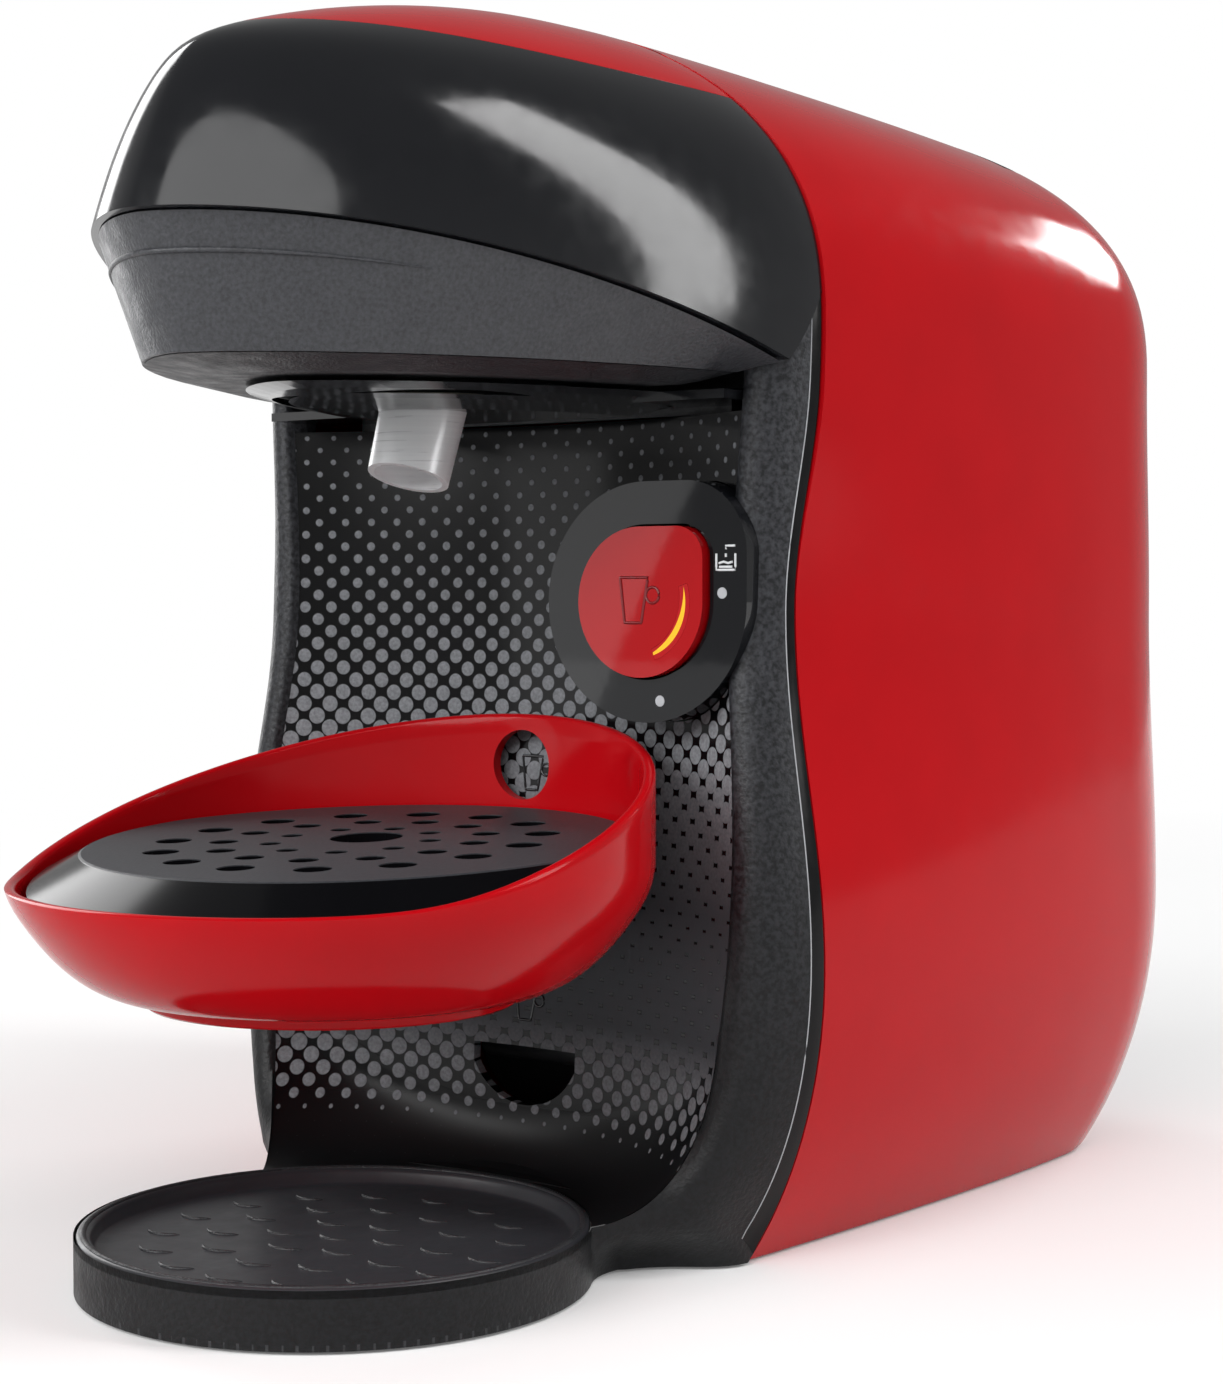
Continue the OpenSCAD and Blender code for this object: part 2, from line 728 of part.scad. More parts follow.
// Wall behind the lid that closes the sleeve's mouth and carries the hinge lug
module bulkhead() {
    color(black)
        difference() {
            union() {
                difference() {
                    intersection() {
                        along_y(lid_seam_y + 1, lid_seam_y + 3.5)
                            polygon(full_section(shrink(front_section, wall + 0.3), stand));
                        box([-far, -far, panel_top_z + seam], [far, far, far]);
                    }
                    hinge_barrel(seam + 0.2);
                    bulkhead_notches();
                }
                rod_x(-8, 8, lid_seam_y, hinge_z, boss_r);
                box([-8, lid_seam_y - boss_r, hinge_z - 18], [8, lid_seam_y + 2, hinge_z]);
            }
            rod_x(-far/2, far/2, lid_seam_y, hinge_z, hinge_pin_r + running);
        }
}
module bulkhead_notches() {
    for (side = [-1, 1])
        translate([side*(arm_in + arm_w/2), 0, 0])
            box([-arm_w/2 - 1, lid_seam_y, hinge_z - 12], [arm_w/2 + 1, lid_seam_y + 10, height]);
    along_y(split_y - 10, split_y + 20)
        for (side = [-1, 1])
            scale([side, 1])
                polygon([[half_at(shoulder_z, front_section) - 22, 0],
                    [half_at(shoulder_z, front_section) - 22, shoulder_gap_z + 1],
                    [half_at(shoulder_z, front_section) - 14, shoulder_gap_z + 1],
                    [half_at(shoulder_z, front_section) - 14, column_top_z + seam], [100, column_top_z + seam], [100, 0]]);
}

bowl_levels = [[0, 46, 75], [-1, 43, 69], [-2.2, 37, 58], [-3.4, 28, 44]];
deck_half = half_at(bowl_top_z, front_section) - column_w(bowl_top_z) - seam/4;
bowl_back_y = split_y + 0.8;
pod_sink = 1.6;
module brew_bowl() {
    low_z = bowl_top_z + bowl_levels[3][0];
    color(gloss_black)
        difference() {
            union() {
                domed_loft([for (i = [3:-1:0]) let(b = bowl_levels[i])
                        plan_ring(b[1], b[2], level(bowl_top_z + b[0]), bowl_back_y)],
                    [0, bowl_back_y - 30, low_z], [0, bowl_back_y - 30, bowl_top_z]);
                box([-deck_half, split_y - 12, bowl_top_z - 1.8], [deck_half, lid_seam_y + 1, bowl_top_z]);
            }
            translate([0, spout_y, bowl_top_z - pod_sink])
                cylinder(h = 10, r = pod_r);
            translate([0, spout_y, 0])
                cylinder(h = far, r = spout_r - 1.9);
            spout_axis()
                translate([0, 0, -30])
                    cylinder(h = 30 + 4, r = spout_r + running);
        }
}
// Frame of the spout: its axis leaves the bowl's underside and leans forward
module spout_axis() {
    translate([0, spout_y, bowl_top_z - 3.4])
        rotate([-spout_tilt, 0, 0])
            children();
}
module spout() {
    color(steel)
        difference() {
            spout_axis()
                translate([0, 0, -spout_len])
                    cylinder(h = spout_len + 3, r1 = spout_r - 0.5, r2 = spout_r);
            spout_axis()
                translate([0, 0, -far/2])
                    cylinder(h = far, r = spout_r - 1.8);
            box([-far, -far, bowl_top_z - pod_sink - 0.1], [far, far, far]);
        }
}
module pod_seal() {
    color("#B9B4A6")
        translate([0, spout_y, bowl_top_z - pod_sink])
            difference() {
                cylinder(h = 1.1, r = 16);
                translate([0, 0, -1])
                    cylinder(h = 4, r = 12.5);
            }
}

// ---- Controls ----
bezel_face_y = split_y - 10.5;
bezel_back_y = split_y + 11;
// Circle with a squared upper right corner
module drop(r, corner) {
    circle(r);
    square([r, r - corner]);
    square([r - corner, r]);
    translate([r - corner, r - corner])
        circle(corner);
}
module bezel_plug(d) {
    translate([bezel_x, 0, bezel_z])
        along_y(split_y - 30, split_y + 30)
            drop(bezel_r + d, bezel_r*corner + d);
}
corner = 0.6;
led_places = [[18.3, 1.8], [3.6, -19.6]];
led_r = 1.1;
module control_bezel() {
    color(gloss_black)
        translate([bezel_x, 0, bezel_z])
            difference() {
                along_y(bezel_face_y, bezel_back_y)
                    drop(bezel_r, bezel_r*corner);
                difference() {
                    along_y(bezel_face_y + wall, bezel_back_y + 1)
                        drop(bezel_r - 2, bezel_r*corner - 2);
                    rod_y(bezel_face_y + 4.6, bezel_face_y + 14, 0, 0, stem_r + 2.5);
                    for (a = [60, 180, 300])
                        rotate([0, a, 0])
                            box([0, bezel_face_y + 4.6, -1], [bezel_r, bezel_face_y + 10, 1]);
                }
                along_y(bezel_face_y - 1, bezel_face_y + 4.6)
                    drop(button_r + 0.5, button_r*0.42 + 0.5);
                rod_y(bezel_face_y, bezel_back_y + 1, 0, 0, stem_r + running);
                for (p = led_places)
                    rod_y(bezel_face_y - 1, bezel_face_y + wall + 1, p[0], p[1], led_r + 0.05);
            }
}
module indicator_lenses() {
    color("white")
        translate([bezel_x, 0, bezel_z])
            for (p = led_places)
                rod_y(bezel_face_y, bezel_face_y + wall + 0.8, p[0], p[1], led_r);
}
module light_outline() {
    intersection() {
        difference() {
            circle(button_r*0.8);
            translate([-1.7, 1])
                circle(button_r*0.8 - 0.7);
        }
        rotate(-72)
            square([far/10, far/10]);
    }
}
module start_button() {
    face = bezel_face_y - button_proud;
    color(red)
        translate([bezel_x, 0, bezel_z])
            difference() {
                union() {
                    along_y(face, face + 4.4)
                        drop(button_r, button_r*0.42);
                    rod_y(face + 4.4 - eps, bezel_face_y + 15.5, 0, 0, stem_r);
                }
                along_y(face - 1, face + 1)
                    offset(delta = 0.05)
                        light_outline();
            }
}
module button_light() {
    face = bezel_face_y - button_proud;
    color("#E8B023")
        translate([bezel_x, 0, bezel_z])
            along_y(face, face + 1)
                light_outline();
}
board_t = 1.6;
module control_board() {
    color("#2E6B43")
        box([bezel_x - 22, bezel_back_y, bezel_z - 30], [bezel_x + 8, bezel_back_y + board_t, bezel_z + 22]);
}
module micro_switch() {
    color("#3A3A3C")
        translate([bezel_x, 0, bezel_z]) {
            box([-10, bezel_back_y - 3.6, -3.2], [10, bezel_back_y, 3.2]);
            rod_y(bezel_face_y + 15.5 + button_travel + 0.3, bezel_back_y - 3.5, 0, 0, 1.2);
        }
}

// ---- Water path, inside the housing ----
chassis_z = stand + wall + boss_h;
pump_x = -24;
pump_z = chassis_z + 27;
heater_x = 24;
heater_y = split_y + 74;
// Space between the pump's tail and the tank's bay, where the flow meter stands
pump_back = 38;
pump_y0 = split_y + 38;
pump_y1 = tank_y - pump_back;
module chassis() {
    color(grey)
        difference() {
            union() {
                box([-52, split_y + 14, chassis_z], [52, tank_y - 4, chassis_z + 2.5]);
                for (x = [-52, 49.5])
                    box([x, split_y + 14, chassis_z], [x + 2.5, split_y + 40, chassis_z + 40]);
            }
            for (b = bosses)
                translate([b[0], b[1], 0])
                    cylinder(h = 20, r = screw_r + 0.05);
        }
}
pump_l = pump_y1 - pump_y0;
module pump() {
    color("#3C4046") {
        rod_y(pump_y0, pump_y1, pump_x, pump_z, 17);
        rod_y(pump_y0 - 8, pump_y0 + eps, pump_x, pump_z, 5);
        translate([pump_x, pump_y1 - 12, pump_z])
            cylinder(h = 23, r = 3.5);
    }
}
module pump_rests() {
    low = chassis_z + 2.5;
    color("#262626")
        for (y = [pump_y0 + pump_l/9, pump_y0 + 4*pump_l/9])
            difference() {
                union() {
                    rod_y(y, y + 8, pump_x, pump_z, 20.5);
                    box([pump_x - 12, y, low], [pump_x + 12, y + 8, pump_z - 12]);
                }
                rod_y(y - 1, y + 9, pump_x, pump_z, 17.03);
            }
}
heater_h = 66;
module heater() {
    low = chassis_z + 2.5;
    color("#9A9CA0") {
        translate([heater_x, heater_y, low + 6])
            cylinder(h = heater_h, r = 21);
        for (a = [30, 150, 270])
            translate([heater_x + 16*cos(a), heater_y + 16*sin(a), low])
                cylinder(h = 6 + eps, r = 3.5);
        rod_y(heater_y - 25, heater_y - 20, heater_x, low + 14, 3.5);
        translate([heater_x, heater_y, low + 6 + heater_h - eps])
            cylinder(h = 6, r = 3.5);
    }
}
meter_z = chassis_z + 62;
meter_y = tank_y - 19;
module flow_meter() {
    color("#D8D9DB") {
        translate([pump_x, meter_y, meter_z])
            cylinder(h = 15, r = 12.5);
        translate([pump_x, meter_y, meter_z - 6])
            cylinder(h = 27, r = 3.5);
        box([pump_x - 6, meter_y + 8, meter_z + 2], [pump_x + 6, tank_y - 2.4, meter_z + 13]);
    }
}
manifold_z = shoulder_gap_z + 8;
module brew_manifold() {
    color(grey) {
        box([-11, lid_seam_y + 3.5, manifold_z - 6], [11, lid_seam_y + 13, manifold_z + 6]);
        rod_y(lid_seam_y + 13 - eps, lid_seam_y + 19, 0, manifold_z, 3.5);
    }
}
// Round hose along straight runs with ball corners
module hose(route) {
    for (i = [0:len(route) - 2]) {
        run = route[i + 1] - route[i];
        translate(route[i])
            rotate([0, acos(run[2]/norm(run)), atan2(run[1], run[0])])
                cylinder(h = norm(run), r = 3, $fn = 24);
        if (i > 0)
            translate(route[i])
                sphere(3, $fn = 24);
    }
}
module suction_hose() {
    color("#D9D6CC")
        hose([[0, tank_y + 11, tank_z - 12], [0, meter_y, tank_z - 12], [pump_x, meter_y, tank_z - 12],
            [pump_x, meter_y, meter_z - 6]]);
}
module pump_hose() {
    color("#D9D6CC")
        hose([[pump_x, pump_y1 - 12, pump_z + 23], [pump_x, pump_y1 - 12, meter_z + 31],
            [pump_x, meter_y, meter_z + 31], [pump_x, meter_y, meter_z + 21]]);
}
module heater_hose() {
    low = chassis_z + 2.5;
    bend = pump_y0 - 16;
    color("#D9D6CC")
        hose([[pump_x, pump_y0 - 8, pump_z], [pump_x, bend, pump_z], [heater_x, bend, pump_z],
            [heater_x, bend, low + 14], [heater_x, heater_y - 25, low + 14]]);
}
module brew_hose() {
    top = chassis_z + 2.5 + 12 + heater_h;
    color("#D9D6CC")
        hose([[heater_x, heater_y, top], [heater_x, heater_y, manifold_z], [0, heater_y, manifold_z],
            [0, lid_seam_y + 19, manifold_z]]);
}

// ---- Water tank ----
module tank_bay() {
    color(black)
        difference() {
            intersection() {
                envelope(wall + 0.3);
                box([-bay_half - 1.8, tank_y - 2.2, tank_z - 3], [bay_half + 1.8, far, far]);
            }
            box([-bay_half, tank_y, tank_z - 0.8], [bay_half, far, far]);
            translate([0, tank_y + 20, 0])
                cylinder(h = far, r = 8.05);
        }
}
module tank_socket() {
    y = tank_y + 20;
    color(grey)
        difference() {
            union() {
                translate([0, y, tank_z - 14.5])
                    cylinder(h = 13.5, r = 8);
                rod_y(tank_y + 11, y, 0, tank_z - 12, 3.5);
            }
            translate([0, y, tank_z - 13])
                cylinder(h = 20, r = 5.4);
        }
}
module tank_space(t) {
    intersection() {
        envelope(t);
        box([-tank_w/2 + t, tank_y + tank_gap + t, tank_z + t], [tank_w/2 - t, far, far]);
    }
}
module water_tank() {
    color("#5A6066", 0.6)
        difference() {
            union() {
                difference() {
                    tank_space(0);
                    tank_space(2.2);
                    box([-far, -far, tank_lid_z], [far, far, far]);
                }
            }
            translate([0, tank_y + 20, 0])
                cylinder(h = tank_z + 10, r = 4);
        }
}
module tank_valve() {
    color(grey)
        translate([0, tank_y + 20, 0])
            difference() {
                union() {
                    translate([0, 0, tank_z - 8])
                        cylinder(h = 12, r = 3.9);
                    translate([0, 0, tank_z - 8])
                        cylinder(h = 7.6, r = 5);
                    translate([0, 0, tank_z + 2.3])
                        cylinder(h = 3, r = 7);
                }
                translate([0, 0, tank_z - 5])
                    cylinder(h = 12, r = 2.4);
            }
}
module tank_lid() {
    color(gloss_black)
        difference() {
            union() {
                difference() {
                    tank_space(0);
                    tank_space(2);
                    box([-far, -far, 0], [far, far, tank_lid_z + 0.3]);
                }
                difference() {
                    tank_space(2.6);
                    tank_space(4.4);
                    box([-far, -far, 0], [far, far, tank_lid_z - 3]);
                    box([-far, -far, tank_lid_z + 3], [far, far, far]);
                }
                intersection() {
                    tank_space(1.9);
                    difference() {
                        box([-far, -far, tank_lid_z + 0.3], [far, far, tank_lid_z + 2.3]);
                        tank_space(4.4);
                    }
                }
            }
        }
}

// ---- Cup tray ----
cup_y = -depth/2 + cup_r;
cup_wall = 2.4;
cup_foot_r = 36;
cup_belly = 0.45;
// Radius of the tray's outside: round belly under an upright rim
function cup_profile(t) = concat(
    [[0, cup_base_z + t]],
    [for (i = [0:9]) let(v = pow(i/9, 2))
        [cup_foot_r + (cup_r - cup_foot_r - t)*pow(v, cup_belly), cup_base_z + t + (cup_front_z - cup_base_z - t)*v]],
    [[cup_r - t, cup_back_z + 10], [0, cup_back_z + 10]]);
// Side view of the rim: level at the front, then rising steadily to the back
rim_slope = (cup_back_z - cup_front_z)/(2*cup_r - 30);
function rim_z(y) = let(u = y - (cup_y - cup_r) - 29.5)
    cup_front_z + rim_slope*(u + sqrt(u*u + 144))/2;
module above_rim() {
    ys = [for (i = [-1:15]) cup_y + cup_r*(i - 7)/7];
    along_x(-far/2, far/2)
        polygon(concat([for (y = ys) [y, rim_z(y)]], [[ys[16], far], [ys[0], far]]));
}
module cup_tray() {
    color(red)
        difference() {
            union() {
                difference() {
                    translate([0, cup_y, 0])
                        rotate_extrude($fn = 120)
                            polygon(cup_profile(0));
                    translate([0, cup_y, 0])
                        rotate_extrude($fn = 120)
                            polygon(cup_profile(cup_wall));
                    above_rim();
                }
                translate([0, cup_y, cup_base_z - 2])
                    difference() {
                        cylinder(h = 3, r = 36, $fn = 96);
                        translate([0, 0, -1])
                            cylinder(h = 5, r = 33.5, $fn = 96);
                    }
                tray_hook();
            }
            rod_y(cup_y + cup_r - 20, cup_y + cup_r + 20, 0, cup_back_z - 10.5, window_r);
        }
}
hook_reach = split_y + 12;
module tray_hook() {
    half = hook_w/2 - 2.5;
    box([-half, cup_y + cup_r - cup_wall, hook_high_z - 1.1], [half, hook_reach, hook_high_z + 2.4]);
    box([-half + 4, hook_reach - 2, hook_high_z - 3.4], [half - 4, hook_reach, hook_high_z]);
}
grid_r = cup_r - cup_wall - 2.3;
grid_h = 6.5;
grid_t = 2.4;
// Drip holes in rings that grow outwards
drip_rings = [[16, 9, 2.2], [26, 13, 2.9], [37, 15, 3.6]];
module drip_grid() {
    color(grey)
        difference() {
            intersection() {
                translate([0, cup_y, cup_base_z])
                    cylinder(h = 60, r = grid_r, $fn = 120);
                grid_cone(0);
            }
            intersection() {
                translate([0, cup_y, cup_base_z])
                    cylinder(h = 60, r = grid_r - grid_t, $fn = 120);
                translate([0, 0, -grid_t])
                    grid_cone(-1);
            }
            grid_frame()
                grid_holes();
        }
}
module grid_frame() {
    translate([0, cup_y, grid_z])
        rotate([grid_tilt, 0, 0])
            children();
}
// Flat top that falls away in front
module grid_cone(d) {
    grid_frame()
        translate([0, 11, -grid_h])
            cylinder(h = grid_h, r1 = grid_r + 11 + d, r2 = grid_r - 2 + d, $fn = 120);
}
module grid_holes() {
    translate([0, 10, -12])
        cylinder(h = 20, r = 7.2);
    for (ring = drip_rings)
        for (i = [0:ring[1] - 1])
            translate([0, 6, 0])
                rotate(360*(i + 0.5)/ring[1])
                    translate([ring[0], 0, -12])
                        cylinder(h = 20, r = ring[2], $fn = 24);
}

sleeve();
front_frame();
front_panel();
bottom_cover();
rubber_feet();
cover_screws();
bulkhead();
brew_bowl();
spout();
pod_seal();
control_bezel();
indicator_lenses();
control_board();
micro_switch();
chassis();
pump();
pump_rests();
heater();
flow_meter();
brew_manifold();
suction_hose();
pump_hose();
heater_hose();
brew_hose();
tank_bay();
tank_socket();
cord_bush();
lid_hinge_pin();
lid_visor();
lid_band();
lid_cap();
lid_liner();
piercing_clamp();
code_window();
start_button();
button_light();
cup_tray();
drip_grid();
water_tank();
tank_valve();
tank_lid();
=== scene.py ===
"""Blender 4.5 scene of the pod coffee machine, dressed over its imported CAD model."""

import math

import bmesh
import bpy
import numpy as np
from mathutils import Euler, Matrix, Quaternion, Vector


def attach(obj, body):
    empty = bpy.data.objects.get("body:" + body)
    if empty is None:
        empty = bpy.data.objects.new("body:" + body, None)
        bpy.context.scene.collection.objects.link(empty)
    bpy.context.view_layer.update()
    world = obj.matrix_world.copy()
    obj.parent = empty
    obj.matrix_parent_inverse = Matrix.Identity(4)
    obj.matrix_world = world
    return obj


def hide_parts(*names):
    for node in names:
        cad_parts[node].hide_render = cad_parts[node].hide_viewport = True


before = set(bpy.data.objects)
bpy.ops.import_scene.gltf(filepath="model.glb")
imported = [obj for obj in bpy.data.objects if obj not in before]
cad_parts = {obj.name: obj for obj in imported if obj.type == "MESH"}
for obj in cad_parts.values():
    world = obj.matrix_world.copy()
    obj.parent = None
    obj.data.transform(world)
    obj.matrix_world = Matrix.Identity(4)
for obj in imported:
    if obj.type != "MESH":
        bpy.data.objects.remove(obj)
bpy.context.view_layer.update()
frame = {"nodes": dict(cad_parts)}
nodes = frame["nodes"]
MM = 0.001

# ---- The CAD's own measures, in millimetres ----
SPLIT_Y = -31.0
SEAM_LEAN = 5.5
LID_SEAM_Y = SPLIT_Y + SEAM_LEAN
BACK_Y = 152.5
BACK_R = 57.0
ROUND_Y = BACK_Y - BACK_R
FLARE_END_Y = SPLIT_Y + 114
STAND = 0.6
WALL = 2.5
SEAM = 0.4
MID_Z, BELLY_Z, WAIST_Z, SHOULDER_Z, HEIGHT = 125.0, 60.0, 131.0, 187.0, 253.0
HINGE_Z, HINGE_HALF, HINGE_OPEN, HINGE_LIP = 243.0, 32.0, 60.0, 80.0
GAP_Z = 174.0
FRONT = np.array([75.5, 68.5, 71.2, 93.0, HEIGHT])
REAR = np.array([83.5, 81.0, 80.0, 98.0, HEIGHT - 3])
ARCH_X, ARCH_Z = 1.5, 2.42
TANK_HALF, TANK_Y, TANK_Z, TANK_LID_Z = 46.0, 98.5, 28.0, 222.0
BAY_HALF, TANK_GAP = 46.6, 0.6
CORD = (32.0, ROUND_Y + 24, 15.0, 5.0)
LID_REACH, LIP_Z, LIP_DROP, LIP_STEP = 116.3, 201.4, 26.0, 1.8
PLAN_POWER, CAP_POWER = 1.62, 1.5
CAP_HALF, CAP_REACH = 50.0, 88.0
BAND_HALF, BAND_REACH, BAND_Z = 61.0, 105.5, 177.0
BEZEL = (39.8, -41.5, 132.0)
BUTTON_Y = -43.5
SAUCER_Y, SAUCER_FLOOR, SAUCER_TOP = -89.5, 8.5, 11.5
TRAY_Y, TRAY_R, TRAY_WALL, TRAY_FOOT_R, TRAY_BELLY = -90.0, 62.5, 2.4, 36.0, 0.45
TRAY_BASE_Z, TRAY_FRONT_Z, TRAY_BACK_Z = 57.0, 78.0, 108.0
GRID_Z, GRID_SLOPE = 85.3, math.tan(math.radians(3.3))
PANEL_Y, PANEL_R, PANEL_LEAN = -156.4, 128.0, 0.052
FAR = 400.0


def mix(a, b, t):
    """The value at a share t of the way from a to b."""
    return a + (b - a) * t


def ease(t):
    """A share from 0 to 1 that starts and ends gently."""
    t = np.clip(t, 0, 1)
    return t * t * (3 - 2 * t)


def power(v, p):
    """A power that keeps the sign, for superellipses."""
    return np.sign(v) * np.abs(v) ** p


# ---- Mesh helpers ----
def new_piece(name, points, faces):
    """A mesh object from points in millimetres."""
    mesh = bpy.data.meshes.new(name)
    mesh.from_pydata([tuple(float(c) * MM for c in p) for p in points], [], faces)
    mesh.validate()
    mesh.update()
    piece = bpy.data.objects.new(name, mesh)
    bpy.context.scene.collection.objects.link(piece)
    return piece


def loft(name, rings):
    """A solid through rings of equal length, closed by flat ends."""
    n, m = len(rings[0]), len(rings)
    faces = [tuple(range(n - 1, -1, -1)), tuple((m - 1) * n + i for i in range(n))]
    for k in range(m - 1):
        for i in range(n):
            a, b = k * n + i, k * n + (i + 1) % n
            faces.append((a, b, b + n, a + n))
    return make_outward(new_piece(name, np.concatenate(rings), faces))


def domed_loft(name, rings, first, last):
    """A solid through rings whose two ends close to a point each."""
    n, m = len(rings[0]), len(rings)
    faces = [(m * n, (i + 1) % n, i) for i in range(n)]
    faces += [(m * n + 1, (m - 1) * n + i, (m - 1) * n + (i + 1) % n) for i in range(n)]
    for k in range(m - 1):
        for i in range(n):
            a, b = k * n + i, k * n + (i + 1) % n
            faces.append((a, b, b + n, a + n))
    return make_outward(new_piece(name, list(np.concatenate(rings)) + [first, last], faces))


def prism(name, outline, axis, low, high):
    """A straight prism of an outline: [y, z] pairs along "x", or [x, y] pairs along "z"."""
    n = len(outline)
    place = {
        "x": lambda p, h: (h, p[0], p[1]),
        "z": lambda p, h: (p[0], p[1], h),
    }[axis]
    points = [place(p, low) for p in outline] + [place(p, high) for p in outline]
    faces = [tuple(range(n - 1, -1, -1)), tuple(range(n, 2 * n))]
    faces += [(i, (i + 1) % n, (i + 1) % n + n, i + n) for i in range(n)]
    return make_outward(new_piece(name, points, faces))


def cuboid(name, low, high):
    """A box between two opposite corners."""
    outline = [(low[0], low[1]), (high[0], low[1]), (high[0], high[1]), (low[0], high[1])]
    return prism(name, outline, "z", low[2], high[2])


def revolve_x(name, profile, centre, steps=96):
    """A solid of revolution about X: (x, radius) pairs with a radius of 0 at both ends."""
    rings = [
        [
            (x, centre[0] + r * math.cos(a), centre[1] + r * math.sin(a))
            for a in np.linspace(0, 2 * math.pi, steps, endpoint=False)
        ]
        for x, r in profile[1:-1]
    ]
    ends = [(profile[i][0], centre[0], centre[1]) for i in (0, -1)]
    return domed_loft(name, rings, *ends)


def grid_piece(name, rows):
    """An open surface through rows of equal length."""
    n = len(rows[0])
    faces = []
    for k in range(len(rows) - 1):
        for i in range(n - 1):
            a = k * n + i
            faces.append((a, a + 1, a + 1 + n, a + n))
    return new_piece(name, np.concatenate(rows), faces)


def turned(name, profile, y, steps):
    """An open surface turned about a vertical axis at y, from (radius, height) pairs."""
    return grid_piece(name, [
        np.array([(r * math.cos(a), y + r * math.sin(a), z) for r, z in profile])
        for a in np.linspace(0, 2 * math.pi, steps)
    ])


def make_outward(piece):
    """Turns all faces outwards."""
    shape = bmesh.new()
    shape.from_mesh(piece.data)
    bmesh.ops.recalc_face_normals(shape, faces=shape.faces)
    shape.to_mesh(piece.data)
    shape.free()
    return piece


def carve(piece, cutter, how="DIFFERENCE"):
    """Applies a boolean with a cutter, which is used up."""
    step = piece.modifiers.new("cut", "BOOLEAN")
    step.operation, step.object, step.solver = how, cutter, "MANIFOLD"
    seen = piece.evaluated_get(bpy.context.evaluated_depsgraph_get())
    mesh = bpy.data.meshes.new_from_object(seen)
    piece.modifiers.clear()
    old, piece.data = piece.data, mesh
    bpy.data.meshes.remove(old)
    bpy.data.objects.remove(cutter)
    return piece


def smooth(piece, angle=32):
    """Smooth shading, with edges above the angle kept sharp."""
    piece.data.shade_smooth()
    piece.data.set_sharp_from_angle(angle=math.radians(angle))


def dress(piece, material):
    """Gives the piece one material."""
    piece.data.materials.clear()
    piece.data.materials.append(material)


# ---- Housing form ----
def section_at(y):
    """Belly, waist and shoulder half widths, lower drop and top at each depth y."""
    y = np.asarray(y, float)[..., None]
    f = 1 - np.clip((FLARE_END_Y - y) / (FLARE_END_Y - SPLIT_Y), 0, 1) ** 1.6
    r = np.clip((y - SPLIT_Y) / (ROUND_Y - SPLIT_Y), 0, 1) ** 1.5
    share = np.concatenate([f, f, f, f, r], axis=-1)
    return mix(FRONT, REAR, share)


def half_at(z, s):
    """Half width of the housing at height z for a section s."""
    z = np.asarray(z, float)
    span = np.where(z > WAIST_Z, SHOULDER_Z - WAIST_Z, WAIST_Z - BELLY_Z)
    waist = np.cos(math.pi / 2 * np.clip(np.abs(z - WAIST_Z) / span, 0, 1)) ** 2
    middle = mix(np.where(z > WAIST_Z, s[2], s[0]), s[1], waist)
    low = s[0] * np.sqrt(np.clip(1 - ((BELLY_Z - z) / s[3]) ** 2, 0, 1))
    v = np.clip((z - SHOULDER_Z) / (s[4] - SHOULDER_Z), 0, 1)
    arch = s[2] * (1 - v**ARCH_Z) ** (1 / ARCH_X)
    return np.where(z > SHOULDER_Z, arch, np.where(z < BELLY_Z, low, middle))


LOW_N, SIDE_N, ARCH_N = 14, 40, 44


def full_section(s, low):
    """Closed [x, z] outline of a section from its right foot over the ridge to its left foot."""
    z = np.concatenate(
        [
            np.linspace(low, BELLY_Z, LOW_N, endpoint=False),
            np.linspace(BELLY_Z, SHOULDER_Z, SIDE_N, endpoint=False),
        ]
    )
    a = np.linspace(0, math.pi / 2, ARCH_N + 1)
    x = np.concatenate([half_at(z, s), s[2] * np.clip(np.cos(a), 0, 1) ** (2 / ARCH_X)])
    z = np.concatenate([z, SHOULDER_Z + (s[4] - SHOULDER_Z) * np.sin(a) ** (2 / ARCH_Z)])
    return np.stack([np.concatenate([x, -x[-2::-1]]), np.concatenate([z, z[-2::-1]])], 1)


CROWN_ROUND = 0.3


def housing_ring(y, d, t, low):
    """Ring of the housing's outside at depth y, drawn in by d all round and thinned by t."""
    s = section_at(min(y, ROUND_Y)) - np.array([t, t, t, 0, t])
    p = full_section(s, low)
    up = MID_Z + (p[:, 1] - MID_Z) * (1 - CROWN_ROUND * d / (s[4] - MID_Z))
    down = MID_Z - (MID_Z - p[:, 1]) * (1 - d / (MID_Z - low))
    return np.stack(
        [p[:, 0] * (1 - d / s[0]), np.full(len(p), y), np.where(p[:, 1] > MID_Z, up, down)], 1
    )


def envelope(name, t=0.0, open_base=False, start=SPLIT_Y):
    """Solid of the housing's outside, thinned by t."""
    r = BACK_R - t
    low = STAND + (-1 if open_base else t)
    first = start - 1 if t > 0 else start
    rings = [housing_ring(y, 0, t, low) for y in np.linspace(first, ROUND_Y, 30, endpoint=False)]
    for a in np.linspace(0, 90, 30):
        c, s = math.cos(math.radians(a)), math.sin(math.radians(a))
        foot = mix(low, STAND + t, float(ease(a / 11))) if open_base else low
        rings.append(housing_ring(ROUND_Y + r * s, r * (1 - c), t, foot))
    return loft(name, rings)


def seam_y(z):
    """Depth of the sleeve's front edge at height z; it leans back beside the lid."""
    return SPLIT_Y + SEAM_LEAN * ease((z - 130) / 45)


